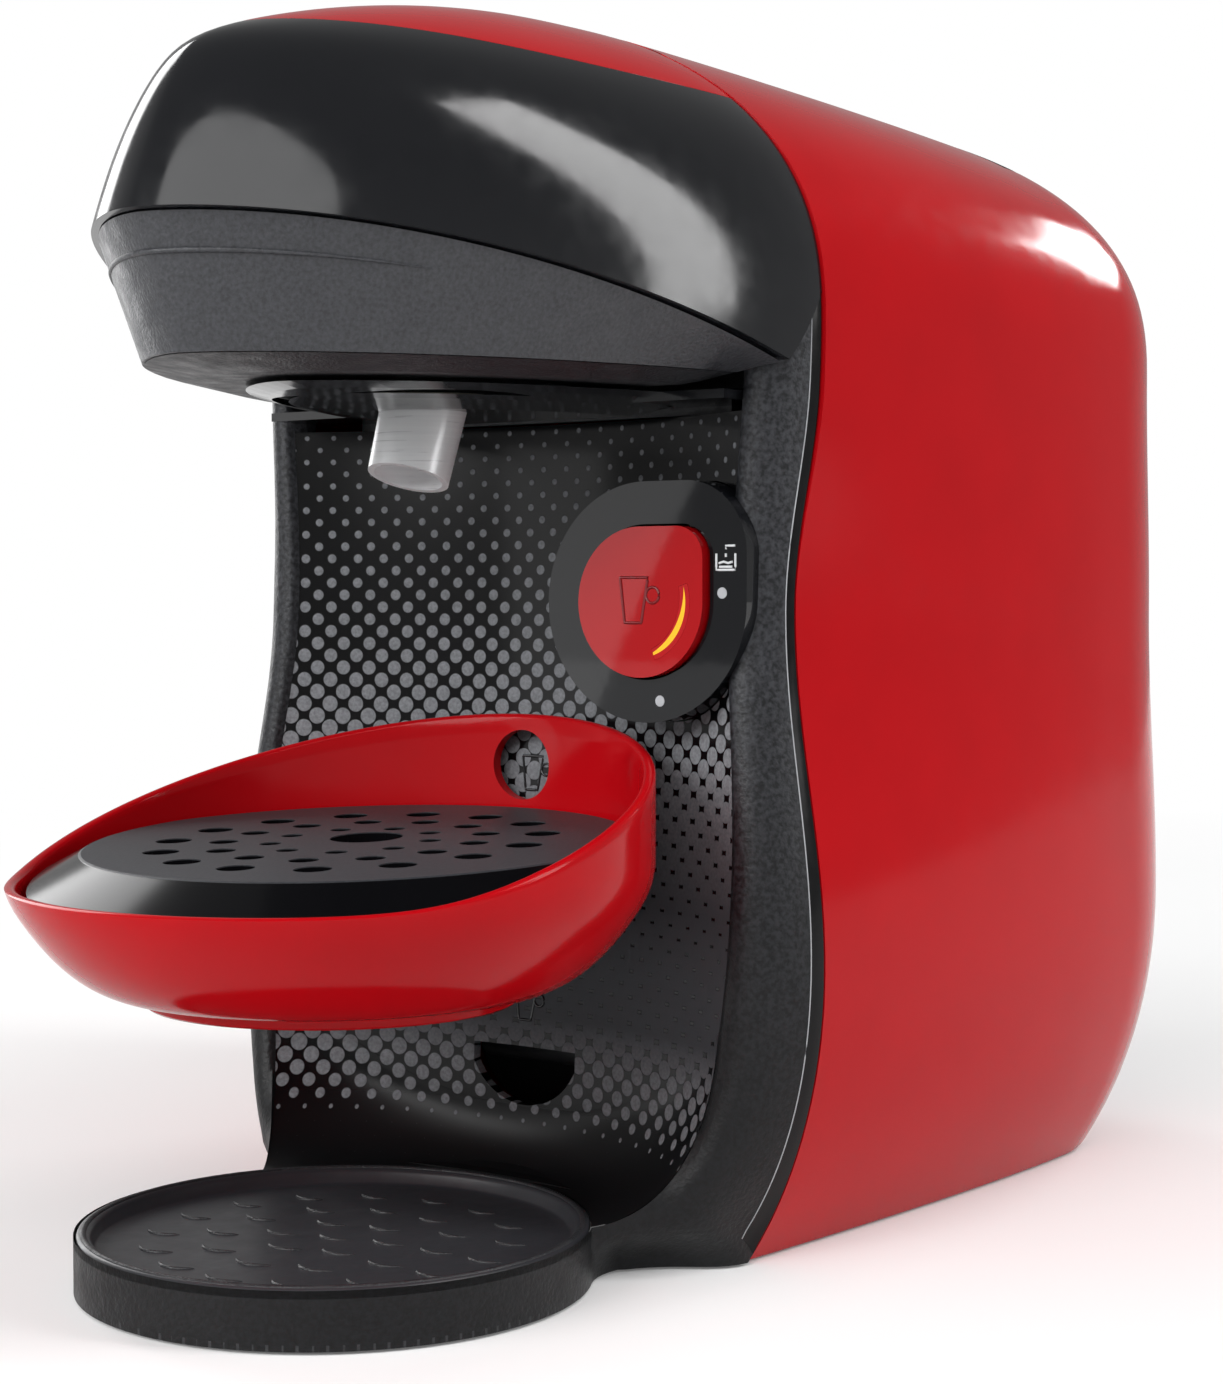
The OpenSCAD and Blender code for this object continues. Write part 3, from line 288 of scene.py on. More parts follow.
def ahead_of_seam(name):
    """Everything in front of the sleeve's edge, which leans back above the hinge axis."""
    top = HEIGHT + 20
    edge = [(float(seam_y(z)), float(z)) for z in np.linspace(130, 175, 30)]
    lean = LID_SEAM_Y + (top - HINGE_Z) * math.tan(math.radians(HINGE_OPEN / 2))
    outline = [(SPLIT_Y - FAR, -FAR), (SPLIT_Y, -FAR)] + edge
    outline += [(LID_SEAM_Y, HINGE_Z), (lean, top), (SPLIT_Y - FAR, top)]
    return prism(name, outline, "x", -FAR / 2, FAR / 2)


def crown_at(x):
    """Height of the housing's crown at x, on the front section."""
    return SHOULDER_Z + (FRONT[4] - SHOULDER_Z) * (1 - (abs(x) / FRONT[2]) ** ARCH_X) ** (1 / ARCH_Z)


def hinge_barrel(name, grow):
    """Round body about the hinge axis that touches the crowned skin from below."""
    half = HINGE_HALF + max(0, grow)
    profile = [(-half, 0)]
    profile += [(x, max(0.2, crown_at(x) - HINGE_Z + grow)) for x in np.linspace(-half, half, 49)]
    profile += [(half, 0)]
    return revolve_x(name, profile, (LID_SEAM_Y, HINGE_Z))


def rod_y(name, y0, y1, x, z, r, steps=64):
    """A round rod along Y."""
    turns = np.linspace(0, 2 * math.pi, steps, endpoint=False)
    ring = [(x + r * math.cos(a), z + r * math.sin(a)) for a in turns]
    rings = [np.array([(p[0], y, p[1]) for p in ring]) for y in (y0, y1)]
    return loft(name, rings)


# ---- Lid form ----
LID_STEPS = 96


def plan_reach(a):
    """How far the lid's plan reaches forward at a turn a, as a share of the whole."""
    return np.clip(np.sin(a), 0, 1) ** (2 / PLAN_POWER)


ANGLES = np.linspace(0, math.pi, LID_STEPS + 1)
LIP = LIP_Z - LIP_DROP * (1 - plan_reach(ANGLES)) ** 1.55


def plan_ring(half, reach, z, back):
    """Level line of the lid, half wide and reach long, at the heights z."""
    z = np.broadcast_to(np.asarray(z, float), ANGLES.shape)
    return np.stack([half * power(np.cos(ANGLES), 2 / PLAN_POWER), back - reach * plan_reach(ANGLES), z], 1)


def skin_share(f, z):
    """Share of the lower line that is left at the share f of the height."""
    wall = 1 - 0.15 * f - 0.165 * f**3
    crown = math.sqrt(max(0, 1 - f) / 0.48) + 0.0001
    nose = (wall**-30 + crown**-30) ** (-1 / 30)
    side = half_at(z, FRONT) / FRONT[2]
    return mix(side, nose, np.sin(ANGLES) ** 2)


def skin_ring(f, t, back, sink=0.0):
    """Ring of the lid's skin at the share f of its height, thinned by t and lowered by sink."""
    low = LIP - 2 * t
    z = mix(LIP, HEIGHT, f)
    g = skin_share(f, z)
    top = (z - low) * (HEIGHT - t - low) / (HEIGHT - low) + low
    return np.stack(
        [
            (FRONT[2] - t) * power(np.cos(ANGLES), 2 / PLAN_POWER) * g,
            back - (LID_REACH - t) * plan_reach(ANGLES) * g,
            top - sink,
        ],
        1,
    )


LEVELS = list(np.linspace(0, 0.52, 18, endpoint=False))
LEVELS += [1 - 0.48 * s * s for s in np.linspace(1, 0.05, 34)]
LID_BACK_Y = LID_SEAM_Y - 0.75 * SEAM
LIP_CORE_Z = GAP_Z + 8


def lid_solid(name, t):
    """Solid of the lid's outside, thinned by t; a thinned one reaches out below and behind."""
    back = LID_BACK_Y + (1 if t > 0 else 0)
    sink = 8 if t > 0 else 0
    rings = [skin_ring(0, t, back, sink)]
    rings += [skin_ring(f, t, back) for f in (LEVELS if t > 0 else LEVELS[1:])]
    return domed_loft(name, rings, (0, back - 30, LIP_CORE_Z - sink), (0, back, HEIGHT - t))


def under_lid(name, d):
    """Everything below the parting surface, moved up by d."""
    lead, rise = 13 + SEAM_LEAN, 19
    edge = [(LID_SEAM_Y - lead * (1 - f), GAP_Z + d + rise * f**1.6) for f in np.linspace(0, 1, 25)]
    outline = [(SPLIT_Y - FAR, -FAR), (SPLIT_Y - FAR, GAP_Z + d)] + edge
    outline += [(SPLIT_Y + FAR, GAP_Z + d + rise), (SPLIT_Y + FAR, -FAR)]
    return prism(name, outline, "x", -FAR / 2, FAR / 2)


def cap_prism(name, d):
    """The red cap's plan outline, upright through the lid."""
    a = np.linspace(0, math.pi, 97)
    x = (CAP_HALF + d) * power(np.cos(a), 2 / CAP_POWER)
    y = LID_SEAM_Y - (CAP_REACH + d) * np.clip(np.sin(a), 0, 1) ** (2 / CAP_POWER)
    outline = [(CAP_HALF + d, LID_SEAM_Y + 20)] + list(zip(x, y)) + [(-CAP_HALF - d, LID_SEAM_Y + 20)]
    return prism(name, outline, "z", SHOULDER_Z, SHOULDER_Z + HEIGHT)


def hinge_wedge(name, a0, a1):
    """Slice between two directions from the hinge axis, each an angle behind the vertical."""
    outline = [(LID_SEAM_Y, HINGE_Z)]
    for a in np.radians(np.linspace(a0, a1, 13)):
        outline.append((LID_SEAM_Y + 60 * math.sin(a), HINGE_Z + 60 * math.cos(a)))
    return prism(name, outline, "x", -FAR / 2, FAR / 2)


def lid_skin(name):
    """Hollow shell of the whole lid above the parting surface."""
    skin = carve(lid_solid(name, 0), lid_solid("inside", WALL))
    return carve(skin, under_lid("parting", SEAM / 2))


# ---- Materials ----
def linear(r, g, b):
    """sRGB 0-255 to the linear values that a shader takes."""
    def one(v):
        v /= 255
        return v / 12.92 if v <= 0.04045 else ((v + 0.055) / 1.055) ** 2.4

    return (one(r), one(g), one(b), 1.0)


class Shade:
    """A Principled material with helpers for its procedural detail."""

    def __init__(self, name):
        self.mat = bpy.data.materials.new(name)
        self.mat.use_nodes = True
        self.tree = self.mat.node_tree
        self.bsdf = self.tree.nodes["Principled BSDF"]
        self.place = self.add("ShaderNodeTexCoord").outputs["Object"]

    def add(self, kind, **settings):
        """A new shader node with its settings."""
        node = self.tree.nodes.new(kind)
        for key, value in settings.items():
            setattr(node, key, value)
        return node

    def axes(self):
        """The x, y and z of the point that is shaded, in metres."""
        split = self.add("ShaderNodeSeparateXYZ")
        self.link(self.place, split.inputs[0])
        return split.outputs

    def link(self, a, b):
        self.tree.links.new(a, b)

    def put(self, socket, value):
        """Links a socket to a node's output, or gives it a constant."""
        if hasattr(value, "links"):
            self.link(value, socket)
        else:
            socket.default_value = value

    def set(self, **values):
        """Sets Principled inputs by name, with _ for a space."""
        for key, value in values.items():
            self.put(self.bsdf.inputs[key.replace("_", " ")], value)

    def noise(self, scale, detail=2.0, stretch=None):
        node = self.add("ShaderNodeTexNoise")
        node.inputs["Scale"].default_value = scale
        node.inputs["Detail"].default_value = detail
        place = self.place
        if stretch:
            map_ = self.add("ShaderNodeMapping")
            map_.inputs["Scale"].default_value = stretch
            self.link(place, map_.inputs["Vector"])
            place = map_.outputs["Vector"]
        self.link(place, node.inputs["Vector"])
        return node.outputs["Fac"]

    def math(self, op, a, b=0.0, clamp=False):
        node = self.add("ShaderNodeMath", operation=op, use_clamp=clamp)
        self.put(node.inputs[0], a)
        self.put(node.inputs[1], b)
        return node.outputs[0]

    def ramp(self, value, stops):
        """A colour ramp from (position, colour) stops."""
        node = self.add("ShaderNodeValToRGB")
        while len(node.color_ramp.elements) < len(stops):
            node.color_ramp.elements.new(0.5)
        for element, (at, colour) in zip(node.color_ramp.elements, sorted(stops, key=lambda s: s[0])):
            element.position = at
            element.color = colour
        self.link(value, node.inputs["Fac"])
        return node.outputs["Color"]

    def range(self, value, low, high, to_low, to_high):
        """Maps low..high to to_low..to_high, clamped."""
        node = self.add("ShaderNodeMapRange")
        self.link(value, node.inputs["Value"])
        for key, v in zip(("From Min", "From Max", "To Min", "To Max"), (low, high, to_low, to_high)):
            node.inputs[key].default_value = v
        return node.outputs["Result"]

    def blend(self, share, a, b):
        """Colour at a share of the way from a to b."""
        node = self.add("ShaderNodeMix", data_type="RGBA")
        self.put(node.inputs[0], share)
        self.put(node.inputs[6], a)
        self.put(node.inputs[7], b)
        return node.outputs[2]

    def bump(self, height, distance, strength=1.0):
        node = self.add("ShaderNodeBump")
        node.inputs["Strength"].default_value = strength
        node.inputs["Distance"].default_value = distance
        self.link(height, node.inputs["Height"])
        self.link(node.outputs["Normal"], self.bsdf.inputs["Normal"])


def plastic(name, rgb, rough, vary=0.04, grain=900.0, depth=0.00002, rough_vary=0.04, speck=None, **extra):
    """Moulded plastic: cloudy or speckled tone, uneven gloss and a fine surface grain."""
    s = Shade(name)
    base = linear(*rgb)
    dark = tuple(c * (1 - vary) for c in base[:3]) + (1.0,)
    light = tuple(min(1, c * (1 + vary)) for c in base[:3]) + (1.0,)
    cloud = s.noise(speck or 38, 3)
    s.set(Base_Color=s.ramp(cloud, [(0.3, dark), (0.7, light)]))
    s.set(Roughness=s.range(s.noise(210, 3), 0.3, 0.7, max(0.02, rough - rough_vary), rough + rough_vary))
    s.bump(s.noise(grain, 2), depth)
    s.set(**extra)
    return s.mat


def dotted_panel():
    """Gloss black printed with a staggered grid of matt dots that grow down the panel; the dots also carry
    painted shade, darker from 33 to 100 mm above the table and darkest between 44 and 70 mm, below the cup
    tray.
    """
    s = Shade("dotted_panel")
    x, y, z = s.axes()
    turn = s.math("ARCTAN2", x, s.math("SUBTRACT", y, PANEL_Y * MM))
    along = s.math("MULTIPLY", turn, (PANEL_R + 3) * MM)
    pitch, row, widest = 6.0 * MM, 5.34 * MM, 3.0
    near = None
    for shift in (0.0, 0.5):
        parts = []
        for value, step in ((along, pitch), (z, row)):
            cell = s.math("FRACT", s.math("ADD", s.math("DIVIDE", value, step), shift + 100))
            off = s.math("MULTIPLY", s.math("SUBTRACT", cell, 0.5), step)
            parts.append(s.math("MULTIPLY", off, off))
        away = s.math("SQRT", s.math("ADD", *parts))
        near = away if near is None else s.math("MINIMUM", near, away)
    # Dot radius in millimetres at shares of the printed height, from 20 to 170 mm above the table
    height = s.math("DIVIDE", s.math("SUBTRACT", z, 20 * MM), 150 * MM)
    stops = [
        (0.0, 0.0), (0.02, 0.9), (0.05, 1.5), (0.1, 1.85), (0.17, 2.3), (0.3, 2.4),
        (0.45, 2.2), (0.57, 1.8), (0.75, 1.15), (0.90, 0.68), (1.0, 0.5),
    ]
    radius = s.ramp(height, [(at, (r / widest,) * 3 + (1,)) for at, r in stops])
    gap = s.math("SUBTRACT", s.math("MULTIPLY", radius, widest * MM), near)
    dot = s.math("ADD", s.math("DIVIDE", gap, 0.18 * MM), 0.5, clamp=True)
    grain = s.noise(1500, 2)
    grey = s.ramp(grain, [(0.3, linear(104, 106, 110)), (0.7, linear(132, 134, 138))])
    # Painted shade: the dots are darkened where the cup tray shades the panel
    shade = s.math("MINIMUM", s.range(z, 33 * MM, 44 * MM, 0, 1), s.range(z, 70 * MM, 100 * MM, 1, 0))
    grey = s.blend(shade, grey, linear(66, 68, 72))
    black = s.ramp(s.noise(40, 2), [(0.3, linear(8, 8, 9)), (0.7, linear(12, 12, 14))])
    s.set(Base_Color=s.blend(dot, black, grey))
    foot = s.range(z, 30 * MM, 18 * MM, 0.16, 0.42)
    s.set(Roughness=s.math("ADD", s.math("MULTIPLY", dot, 0.4), foot), Specular_IOR_Level=0.2)
    rough_dot = s.math("MULTIPLY", grain, s.math("MULTIPLY", dot, 0.5))
    s.bump(s.math("ADD", s.math("MULTIPLY", dot, 0.6), rough_dot), 0.00006)
    return s.mat


def column_grain_painted_shade():
    """Coarsely grained black of the front frame, with painted shade: darker towards the foot."""
    s = Shade("column_grain_painted_shade")
    # Painted shade: both tones of the grain darken from 130 mm down to 30 mm above the table
    rise = s.range(s.axes()[2], 30 * MM, 130 * MM, 0, 1)
    speck = s.noise(1000, 3)
    low = s.blend(rise, linear(4, 4, 5), linear(20, 21, 24))
    high = s.blend(rise, linear(16, 17, 20), linear(56, 57, 61))
    s.set(Base_Color=s.blend(s.range(speck, 0.36, 0.64, 0, 1), low, high))
    s.set(Roughness=s.range(s.noise(210, 3), 0.3, 0.7, 0.4, 0.52), Specular_IOR_Level=0.3)
    s.bump(speck, 0.0002)
    return s.mat


def brushed_steel():
    """Light steel with fine level lines."""
    s = Shade("brushed_steel")
    lines = s.noise(60, 3, stretch=(1, 1, 40))
    tone = s.ramp(lines, [(0.3, linear(240, 241, 243)), (0.7, linear(248, 249, 250))])
    s.set(Metallic=0.2, Base_Color=tone)
    s.set(Roughness=s.range(lines, 0.3, 0.7, 0.27, 0.33))
    return s.mat


# Gloss surfaces are almost even; grained ones are speckled and carry a coarse bump
GLOSS = {"grain": 160, "depth": 0.00001, "rough_vary": 0.03}
MIRROR = {"grain": 160, "depth": 0.000004, "rough_vary": 0.008, "Specular_IOR_Level": 0.4}
GRAINED = {"vary": 0.35, "grain": 1500, "depth": 0.0002, "rough_vary": 0.1, "speck": 1300}
RED = (178, 9, 18)

red = plastic("gloss_red", RED, 0.13, **{**GLOSS, "depth": 0.000012}, Specular_IOR_Level=0.13)
black_gloss = plastic("gloss_black", (20, 21, 24), 0.12, **GLOSS, Specular_IOR_Level=0.5)
band_grain = plastic("grained_band", (54, 55, 59), 0.45, **GRAINED)
black_grain = plastic("grained_black", (34, 35, 38), 0.5, **GRAINED)
dark_grey = plastic("matt_dark_grey", (62, 63, 66), 0.6, vary=0.08, grain=1500, depth=0.0001, rough_vary=0.08)
mid_grey = plastic("moulded_grey", (118, 120, 124), 0.5, vary=0.06, grain=1200, depth=0.00006)
rubber = plastic("rubber", (38, 38, 38), 0.8, vary=0.12, grain=1100, depth=0.00012)
seal = plastic("silicone", (205, 200, 182), 0.42, vary=0.05, grain=500, depth=0.00003)
hose = plastic("dark_hose", (44, 44, 46), 0.55, vary=0.08, grain=500, depth=0.00003)
light = plastic("lamp_white", (176, 178, 182), 0.3, vary=0.03)
board = plastic("circuit_board", (32, 92, 52), 0.45, vary=0.12, grain=700)
alloy = plastic("cast_alloy", (150, 152, 156), 0.45, vary=0.1, grain=900, depth=0.0001, Metallic=0.9)
window = plastic("dark_window", (70, 16, 20), 0.12, vary=0.05)
smoked = plastic(
    "smoked_clear", (122, 130, 140), 0.1, vary=0.06, grain=200, Transmission_Weight=0.85, IOR=1.49
)
print_white = plastic("printed_white", (225, 228, 230), 0.45, vary=0.05, grain=900)
red_button = plastic("gloss_red_button", (172, 8, 16), 0.03, **MIRROR)
red_dark = plastic("moulded_red_line", (120, 12, 20), 0.3, vary=0.05, grain=300)
bezel_gloss = plastic("gloss_bezel", (15, 16, 19), 0.035, **MIRROR)
edge_black = plastic("edge_black", (9, 9, 10), 0.2, grain=200, depth=0.00001, Specular_IOR_Level=0.2)
# Light grey of the beads along the columns' edges: a painted highlight
painted_highlight_grey = plastic("painted_highlight_grey", (168, 170, 174), 0.35, vary=0.05)
black_satin = plastic("satin_smooth_black", (44, 45, 49), 0.36, vary=0.06, grain=500, depth=0.00003)
steel = brushed_steel()
panel = dotted_panel()


def grid_finish():
    """Matt grey top; what lies under it, the cone in front and the holes' walls, is polished near black:
    gloss black on the cone, painted shade on the holes' walls.
    """
    s = Shade("drip_grid")
    _, y, z = s.axes()
    top = s.math("ADD", s.math("MULTIPLY", y, GRID_SLOPE), (GRID_Z - TRAY_Y * GRID_SLOPE) * MM)
    # Below the top plane: gloss black on the cone in front, painted shade on the holes' walls
    lip = s.range(s.math("SUBTRACT", top, z), 0.15 * MM, 0.3 * MM, 0, 1)
    grain = s.noise(1500, 2)
    matt = s.ramp(grain, [(0.3, linear(44, 45, 49)), (0.7, linear(58, 59, 63))])
    s.set(Base_Color=s.blend(lip, matt, linear(11, 11, 13)))
    s.set(Roughness=s.range(lip, 0, 1, 0.5, 0.16), Specular_IOR_Level=s.range(lip, 0, 1, 0.4, 0.12))
    s.bump(s.math("MULTIPLY", grain, s.math("SUBTRACT", 1, lip)), 0.00005)
    return s.mat


def crescent_lamp():
    """Amber only on a thin tapered crescent; the rest of the inlay is red like the button."""
    s = Shade("crescent_lamp")
    x, _, z = s.axes()

    def away(cx, cz):
        dx, dz = s.math("SUBTRACT", x, cx * MM), s.math("SUBTRACT", z, cz * MM)
        return s.math("SQRT", s.math("ADD", s.math("MULTIPLY", dx, dx), s.math("MULTIPLY", dz, dz)))

    # Inside a circle about the button's centre, outside a larger one that is shifted up and left
    inner = s.range(away(BEZEL[0] - 3.8, BEZEL[2] + 2.6), 14.35 * MM, 14.45 * MM, 0, 1)
    outer = s.range(away(BEZEL[0], BEZEL[2]), 10.95 * MM, 11.05 * MM, 1, 0)
    lit = s.math("MULTIPLY", inner, outer)
    s.set(Base_Color=s.blend(lit, linear(*RED), linear(238, 176, 40)))
    s.set(Roughness=0.25, Specular_IOR_Level=0.2)
    s.set(Emission_Color=linear(240, 180, 40), Emission_Strength=s.math("MULTIPLY", lit, 0.3))
    s.bump(s.noise(400, 2), 0.00001)
    return s.mat


FINISH = {
    "front_frame": black_grain, "front_panel": panel, "bottom_cover": dark_grey, "rubber_feet": rubber,
    "cover_screws": steel, "bulkhead": black_grain, "brew_bowl": black_gloss, "spout": steel,
    "pod_seal": seal, "control_bezel": bezel_gloss, "indicator_lenses": light, "control_board": board,
    "micro_switch": dark_grey, "chassis": dark_grey, "pump": dark_grey, "pump_rests": rubber,
    "heater": alloy, "flow_meter": mid_grey, "brew_manifold": mid_grey, "suction_hose": hose,
    "pump_hose": hose, "heater_hose": hose, "brew_hose": hose, "tank_bay": black_grain,
    "tank_socket": mid_grey, "cord_bush": rubber, "lid_hinge_pin": steel, "lid_liner": black_grain,
    "piercing_clamp": mid_grey, "code_window": window, "start_button": red_button,
    "button_light": crescent_lamp(), "cup_tray": red, "drip_grid": grid_finish(), "tank_valve": mid_grey,
}
for node, material in FINISH.items():
    slots = nodes[node].material_slots
    if not slots:
        nodes[node].data.materials.append(material)
    for slot in slots:
        slot.material = material

# ---- Smooth shells in place of the faceted CAD shells ----
sleeve = carve(envelope("sleeve_shell"), envelope("inside", WALL, True))
carve(sleeve, ahead_of_seam("ahead"))
carve(sleeve, hinge_barrel("barrel", SEAM))
# Opening for the tank's bay and its walls
bay_half = BAY_HALF + 1.8
carve(sleeve, cuboid("bay", (-bay_half, TANK_Y - 2.3, TANK_Z - 3.1), (bay_half, FAR, FAR)))
carve(sleeve, rod_y("cord_hole", CORD[1] - 4, FAR, CORD[0], CORD[2], CORD[3] + SEAM / 4))

# The lid's skin is parted along the red cap's outline; the cap carries the hinge's round body
visor = carve(lid_skin("visor_shell"), cap_prism("cap_edge", 0))
cap = carve(lid_skin("cap_shell"), cap_prism("cap_edge", -0.15), "INTERSECT")
carve(cap, hinge_wedge("slice", -HINGE_OPEN / 2 - 2, 1))
roll = carve(hinge_barrel("roll", 0), hinge_wedge("roll_wedge", -HINGE_OPEN / 2 - 12, HINGE_LIP), "INTERSECT")
carve(cap, roll, "UNION")
carve(cap, hinge_barrel("bore", -WALL))


BAND_DROP, BAND_SEAM = 0.2, 0.65


def band_solid(name, t, rise, sink):
    """The band under the lid's lip, thinned by t and made higher at the top and the bottom."""
    back = LID_BACK_Y + (1 if t > 0 else 0)
    low = np.minimum(BAND_Z, LIP - 1) - BAND_DROP - sink
    high = LIP - BAND_SEAM + rise
    rings = [plan_ring(BAND_HALF - t, BAND_REACH - t, low, back)]
    rings.append(plan_ring(FRONT[2] - LIP_STEP - t, LID_REACH - LIP_STEP - t, high, back))
    bottom = (0, back - 30, BAND_Z - BAND_DROP - sink)
    return domed_loft(name, rings, bottom, (0, back - 30, LIP_CORE_Z - BAND_SEAM + rise))


band = carve(band_solid("band_shell", 0, 0, 0), band_solid("inside", WALL, 1, 1))
carve(band, under_lid("parting", SEAM / 2))


def tank_space(name, t):
    """Inside of the tank's bay, t smaller all round."""
    space = envelope(name, t)
    low = (-TANK_HALF + t, TANK_Y + TANK_GAP + t, TANK_Z + t)
    return carve(space, cuboid("bay", low, (TANK_HALF - t, FAR, FAR)), "INTERSECT")


tank = carve(tank_space("tank_shell", 0), tank_space("inside", 2.2))
carve(tank, cuboid("above", (-FAR, -FAR, TANK_LID_Z), (FAR, FAR, FAR)))
tank_lid = carve(tank_space("tank_lid_shell", 0), tank_space("inside", 2))
carve(tank_lid, cuboid("below", (-FAR, -FAR, -FAR), (FAR, FAR, TANK_LID_Z + 0.3)))

for piece, node, body, material, name in (
    (sleeve, "sleeve", "housing", red, "gloss_red"),
    (visor, "lid_visor", "lid", black_gloss, "gloss_black"),
    (cap, "lid_cap", "lid", red, "gloss_red"),
    (band, "lid_band", "lid", band_grain, "satin_black"),
    (tank, "water_tank", "water_tank", smoked, "smoked"),
    (tank_lid, "tank_lid", "tank_lid", black_gloss, "gloss_black"),
):
    smooth(piece)
    dress(piece, material)
    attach(piece, body)
    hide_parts(node)

# ---- Cup tray ----
RIM_LEVEL, RIM_BLEND = 29.5, 12.0


def tray_rim(y):
    """Height of the rim: level in front, then rising steadily to the back."""
    u = y - (TRAY_Y - TRAY_R) - RIM_LEVEL
    climb = (TRAY_BACK_Z - TRAY_FRONT_Z) / (2 * TRAY_R - 30)
    return TRAY_FRONT_Z + climb * (u + np.sqrt(u * u + RIM_BLEND**2)) / 2


def tray_radius(z, t):
    """Radius of the belly, t inside the outer skin; its top eases into the upright rim."""
    base, top = TRAY_BASE_Z + t, TRAY_R - t
    rise, turn = TRAY_FRONT_Z - base, 0.75
    z0, r0 = base + turn * rise, TRAY_FOOT_R + (top - TRAY_FOOT_R) * turn**TRAY_BELLY
    slope = (top - TRAY_FOOT_R) * TRAY_BELLY * turn ** (TRAY_BELLY - 1) / rise
    z1 = z0 + 2 * (top - r0) / slope
    if z < z0:
        return TRAY_FOOT_R + (top - TRAY_FOOT_R) * max(0, (z - base) / rise) ** TRAY_BELLY
    return top - (top - r0) * max(0, (z1 - z) / (z1 - z0)) ** 2


RIM_ROUND = 0.9


def tray_solid(name):
    """The tray's wall and floor: up the outside, over the round rim and down the inside."""
    turn = np.linspace(0, 2 * math.pi, 240, endpoint=False)
    rim = tray_rim(TRAY_Y + TRAY_R * np.cos(turn)) - 0.02
    level, rings = TRAY_FRONT_Z - 2, []

    def add(radius, z):
        rings.append(np.stack([radius * np.sin(turn), TRAY_Y + radius * np.cos(turn), z + 0 * turn], 1))

    def belly(t):
        heights = TRAY_BASE_Z + t + (level - TRAY_BASE_Z - t) * np.linspace(0, 1, 26) ** 2
        return [(tray_radius(z, t), z) for z in heights]

    def upright(t):
        heights = [level + (rim - RIM_ROUND - level) * share for share in np.linspace(0, 1, 10)[1:]]
        return [(np.array([tray_radius(v, t) for v in z]), z) for z in heights]

    for radius, z in belly(0) + upright(0):
        add(radius, z)
    outer = np.array([tray_radius(z, 0) for z in rim])
    for a in np.radians((30, 60, 90, 120, 150)):
        add(outer - TRAY_WALL / 2 * (1 - math.cos(a)), rim - RIM_ROUND + RIM_ROUND * math.sin(a))
    for radius, z in upright(TRAY_WALL)[::-1] + belly(TRAY_WALL)[::-1]:
        add(radius, z)
    return domed_loft(name, rings, (0, TRAY_Y, TRAY_BASE_Z), (0, TRAY_Y, TRAY_BASE_Z + TRAY_WALL))


tray = carve(tray_solid("tray_shell"), rod_y("window", TRAY_Y + 20, FAR, 0, TRAY_BACK_Z - 10.5, 7.4))
foot_profile = [(33.5, 1), (33.5, -1.6), (34, -2), (35.5, -2), (36, -1.6), (36, 1), (33.5, 1)]
foot_profile = [(r, TRAY_BASE_Z + z) for r, z in foot_profile]
tray_foot = make_outward(turned("tray_foot", foot_profile, TRAY_Y, 145))
tray_hook = carve(
    cuboid("tray_hook", (-11, TRAY_Y + TRAY_R - TRAY_WALL + 0.3, 76.9), (11, SPLIT_Y + 12, 80.4)),
    cuboid("hook_tip", (-7, SPLIT_Y + 10, 74.6), (7, SPLIT_Y + 12, 78)), "UNION",
)
for piece in (tray, tray_foot, tray_hook):
    smooth(piece, 40)
    dress(piece, red)
    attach(piece, "cup_tray")
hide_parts("cup_tray")

# ---- Front frame and foot ----
SAUCER_R, DISH_R, NECK_R = 50.0, 49.6, 16.0
COLUMN_TOP, SWEEP_Z = GAP_Z + 23, 48.0
NECK_Y = SPLIT_Y - 9 - NECK_R
NECK_X = math.sqrt((SAUCER_R + NECK_R) ** 2 - (NECK_Y - SAUCER_Y) ** 2)
NECK_TURN = math.atan2(NECK_X, NECK_Y - SAUCER_Y)
COLUMN_ROWS, FOOT_ROWS = 60, 40
MIRRORED = np.array([-1, 1, 1])


def bezier(p, count):
    """Points of a cubic curve with four control points."""
    t = np.linspace(0, 1, count)[:, None]
    p = [np.asarray(q, float) for q in p]
    return (1 - t) ** 3 * p[0] + 3 * t * (1 - t) ** 2 * p[1] + 3 * t * t * (1 - t) * p[2] + t**3 * p[3]


def panel_radius(z):
    return PANEL_R + PANEL_LEAN * (z - 43)


def column_ends(z):
    """Inner border and outer edge of the right column at height z."""
    half = float(half_at(z, FRONT))
    inner = half - mix(17, 11.3, float(ease((z - 30) / 80))) + SEAM
    inner_y = PANEL_Y + math.sqrt(panel_radius(z) ** 2 - inner**2) - 1.2
    return (inner, inner_y, z), (half - 0.15, float(seam_y(z)) - SEAM, z)


def on_saucer(a, z, r=SAUCER_R):
    """Point of the saucer's rim at a turn a from the back towards +X."""
    return r * math.sin(a), SAUCER_Y + r * math.cos(a), z


def along(points, count):
    """The polyline resampled to equal steps."""
    points = np.asarray(points, float)
    run = np.concatenate([[0], np.cumsum(np.linalg.norm(np.diff(points, axis=0), axis=1))])
    at = np.linspace(0, run[-1], count)
    return np.stack([np.interp(at, run, points[:, i]) for i in range(3)], 1)


# Inner border of the foot's wall, from the column's end to the neck
neck = np.array(on_saucer(NECK_TURN, SAUCER_TOP))
corner = column_ends(SWEEP_Z)[0]
border = bezier(
    [
        corner,
        (corner[0] - 0.6, corner[1] - 1.5, 27),
        (neck[0] + 9, neck[1] + 13, SAUCER_TOP + 1),
        neck,
    ],
    FOOT_ROWS,
)

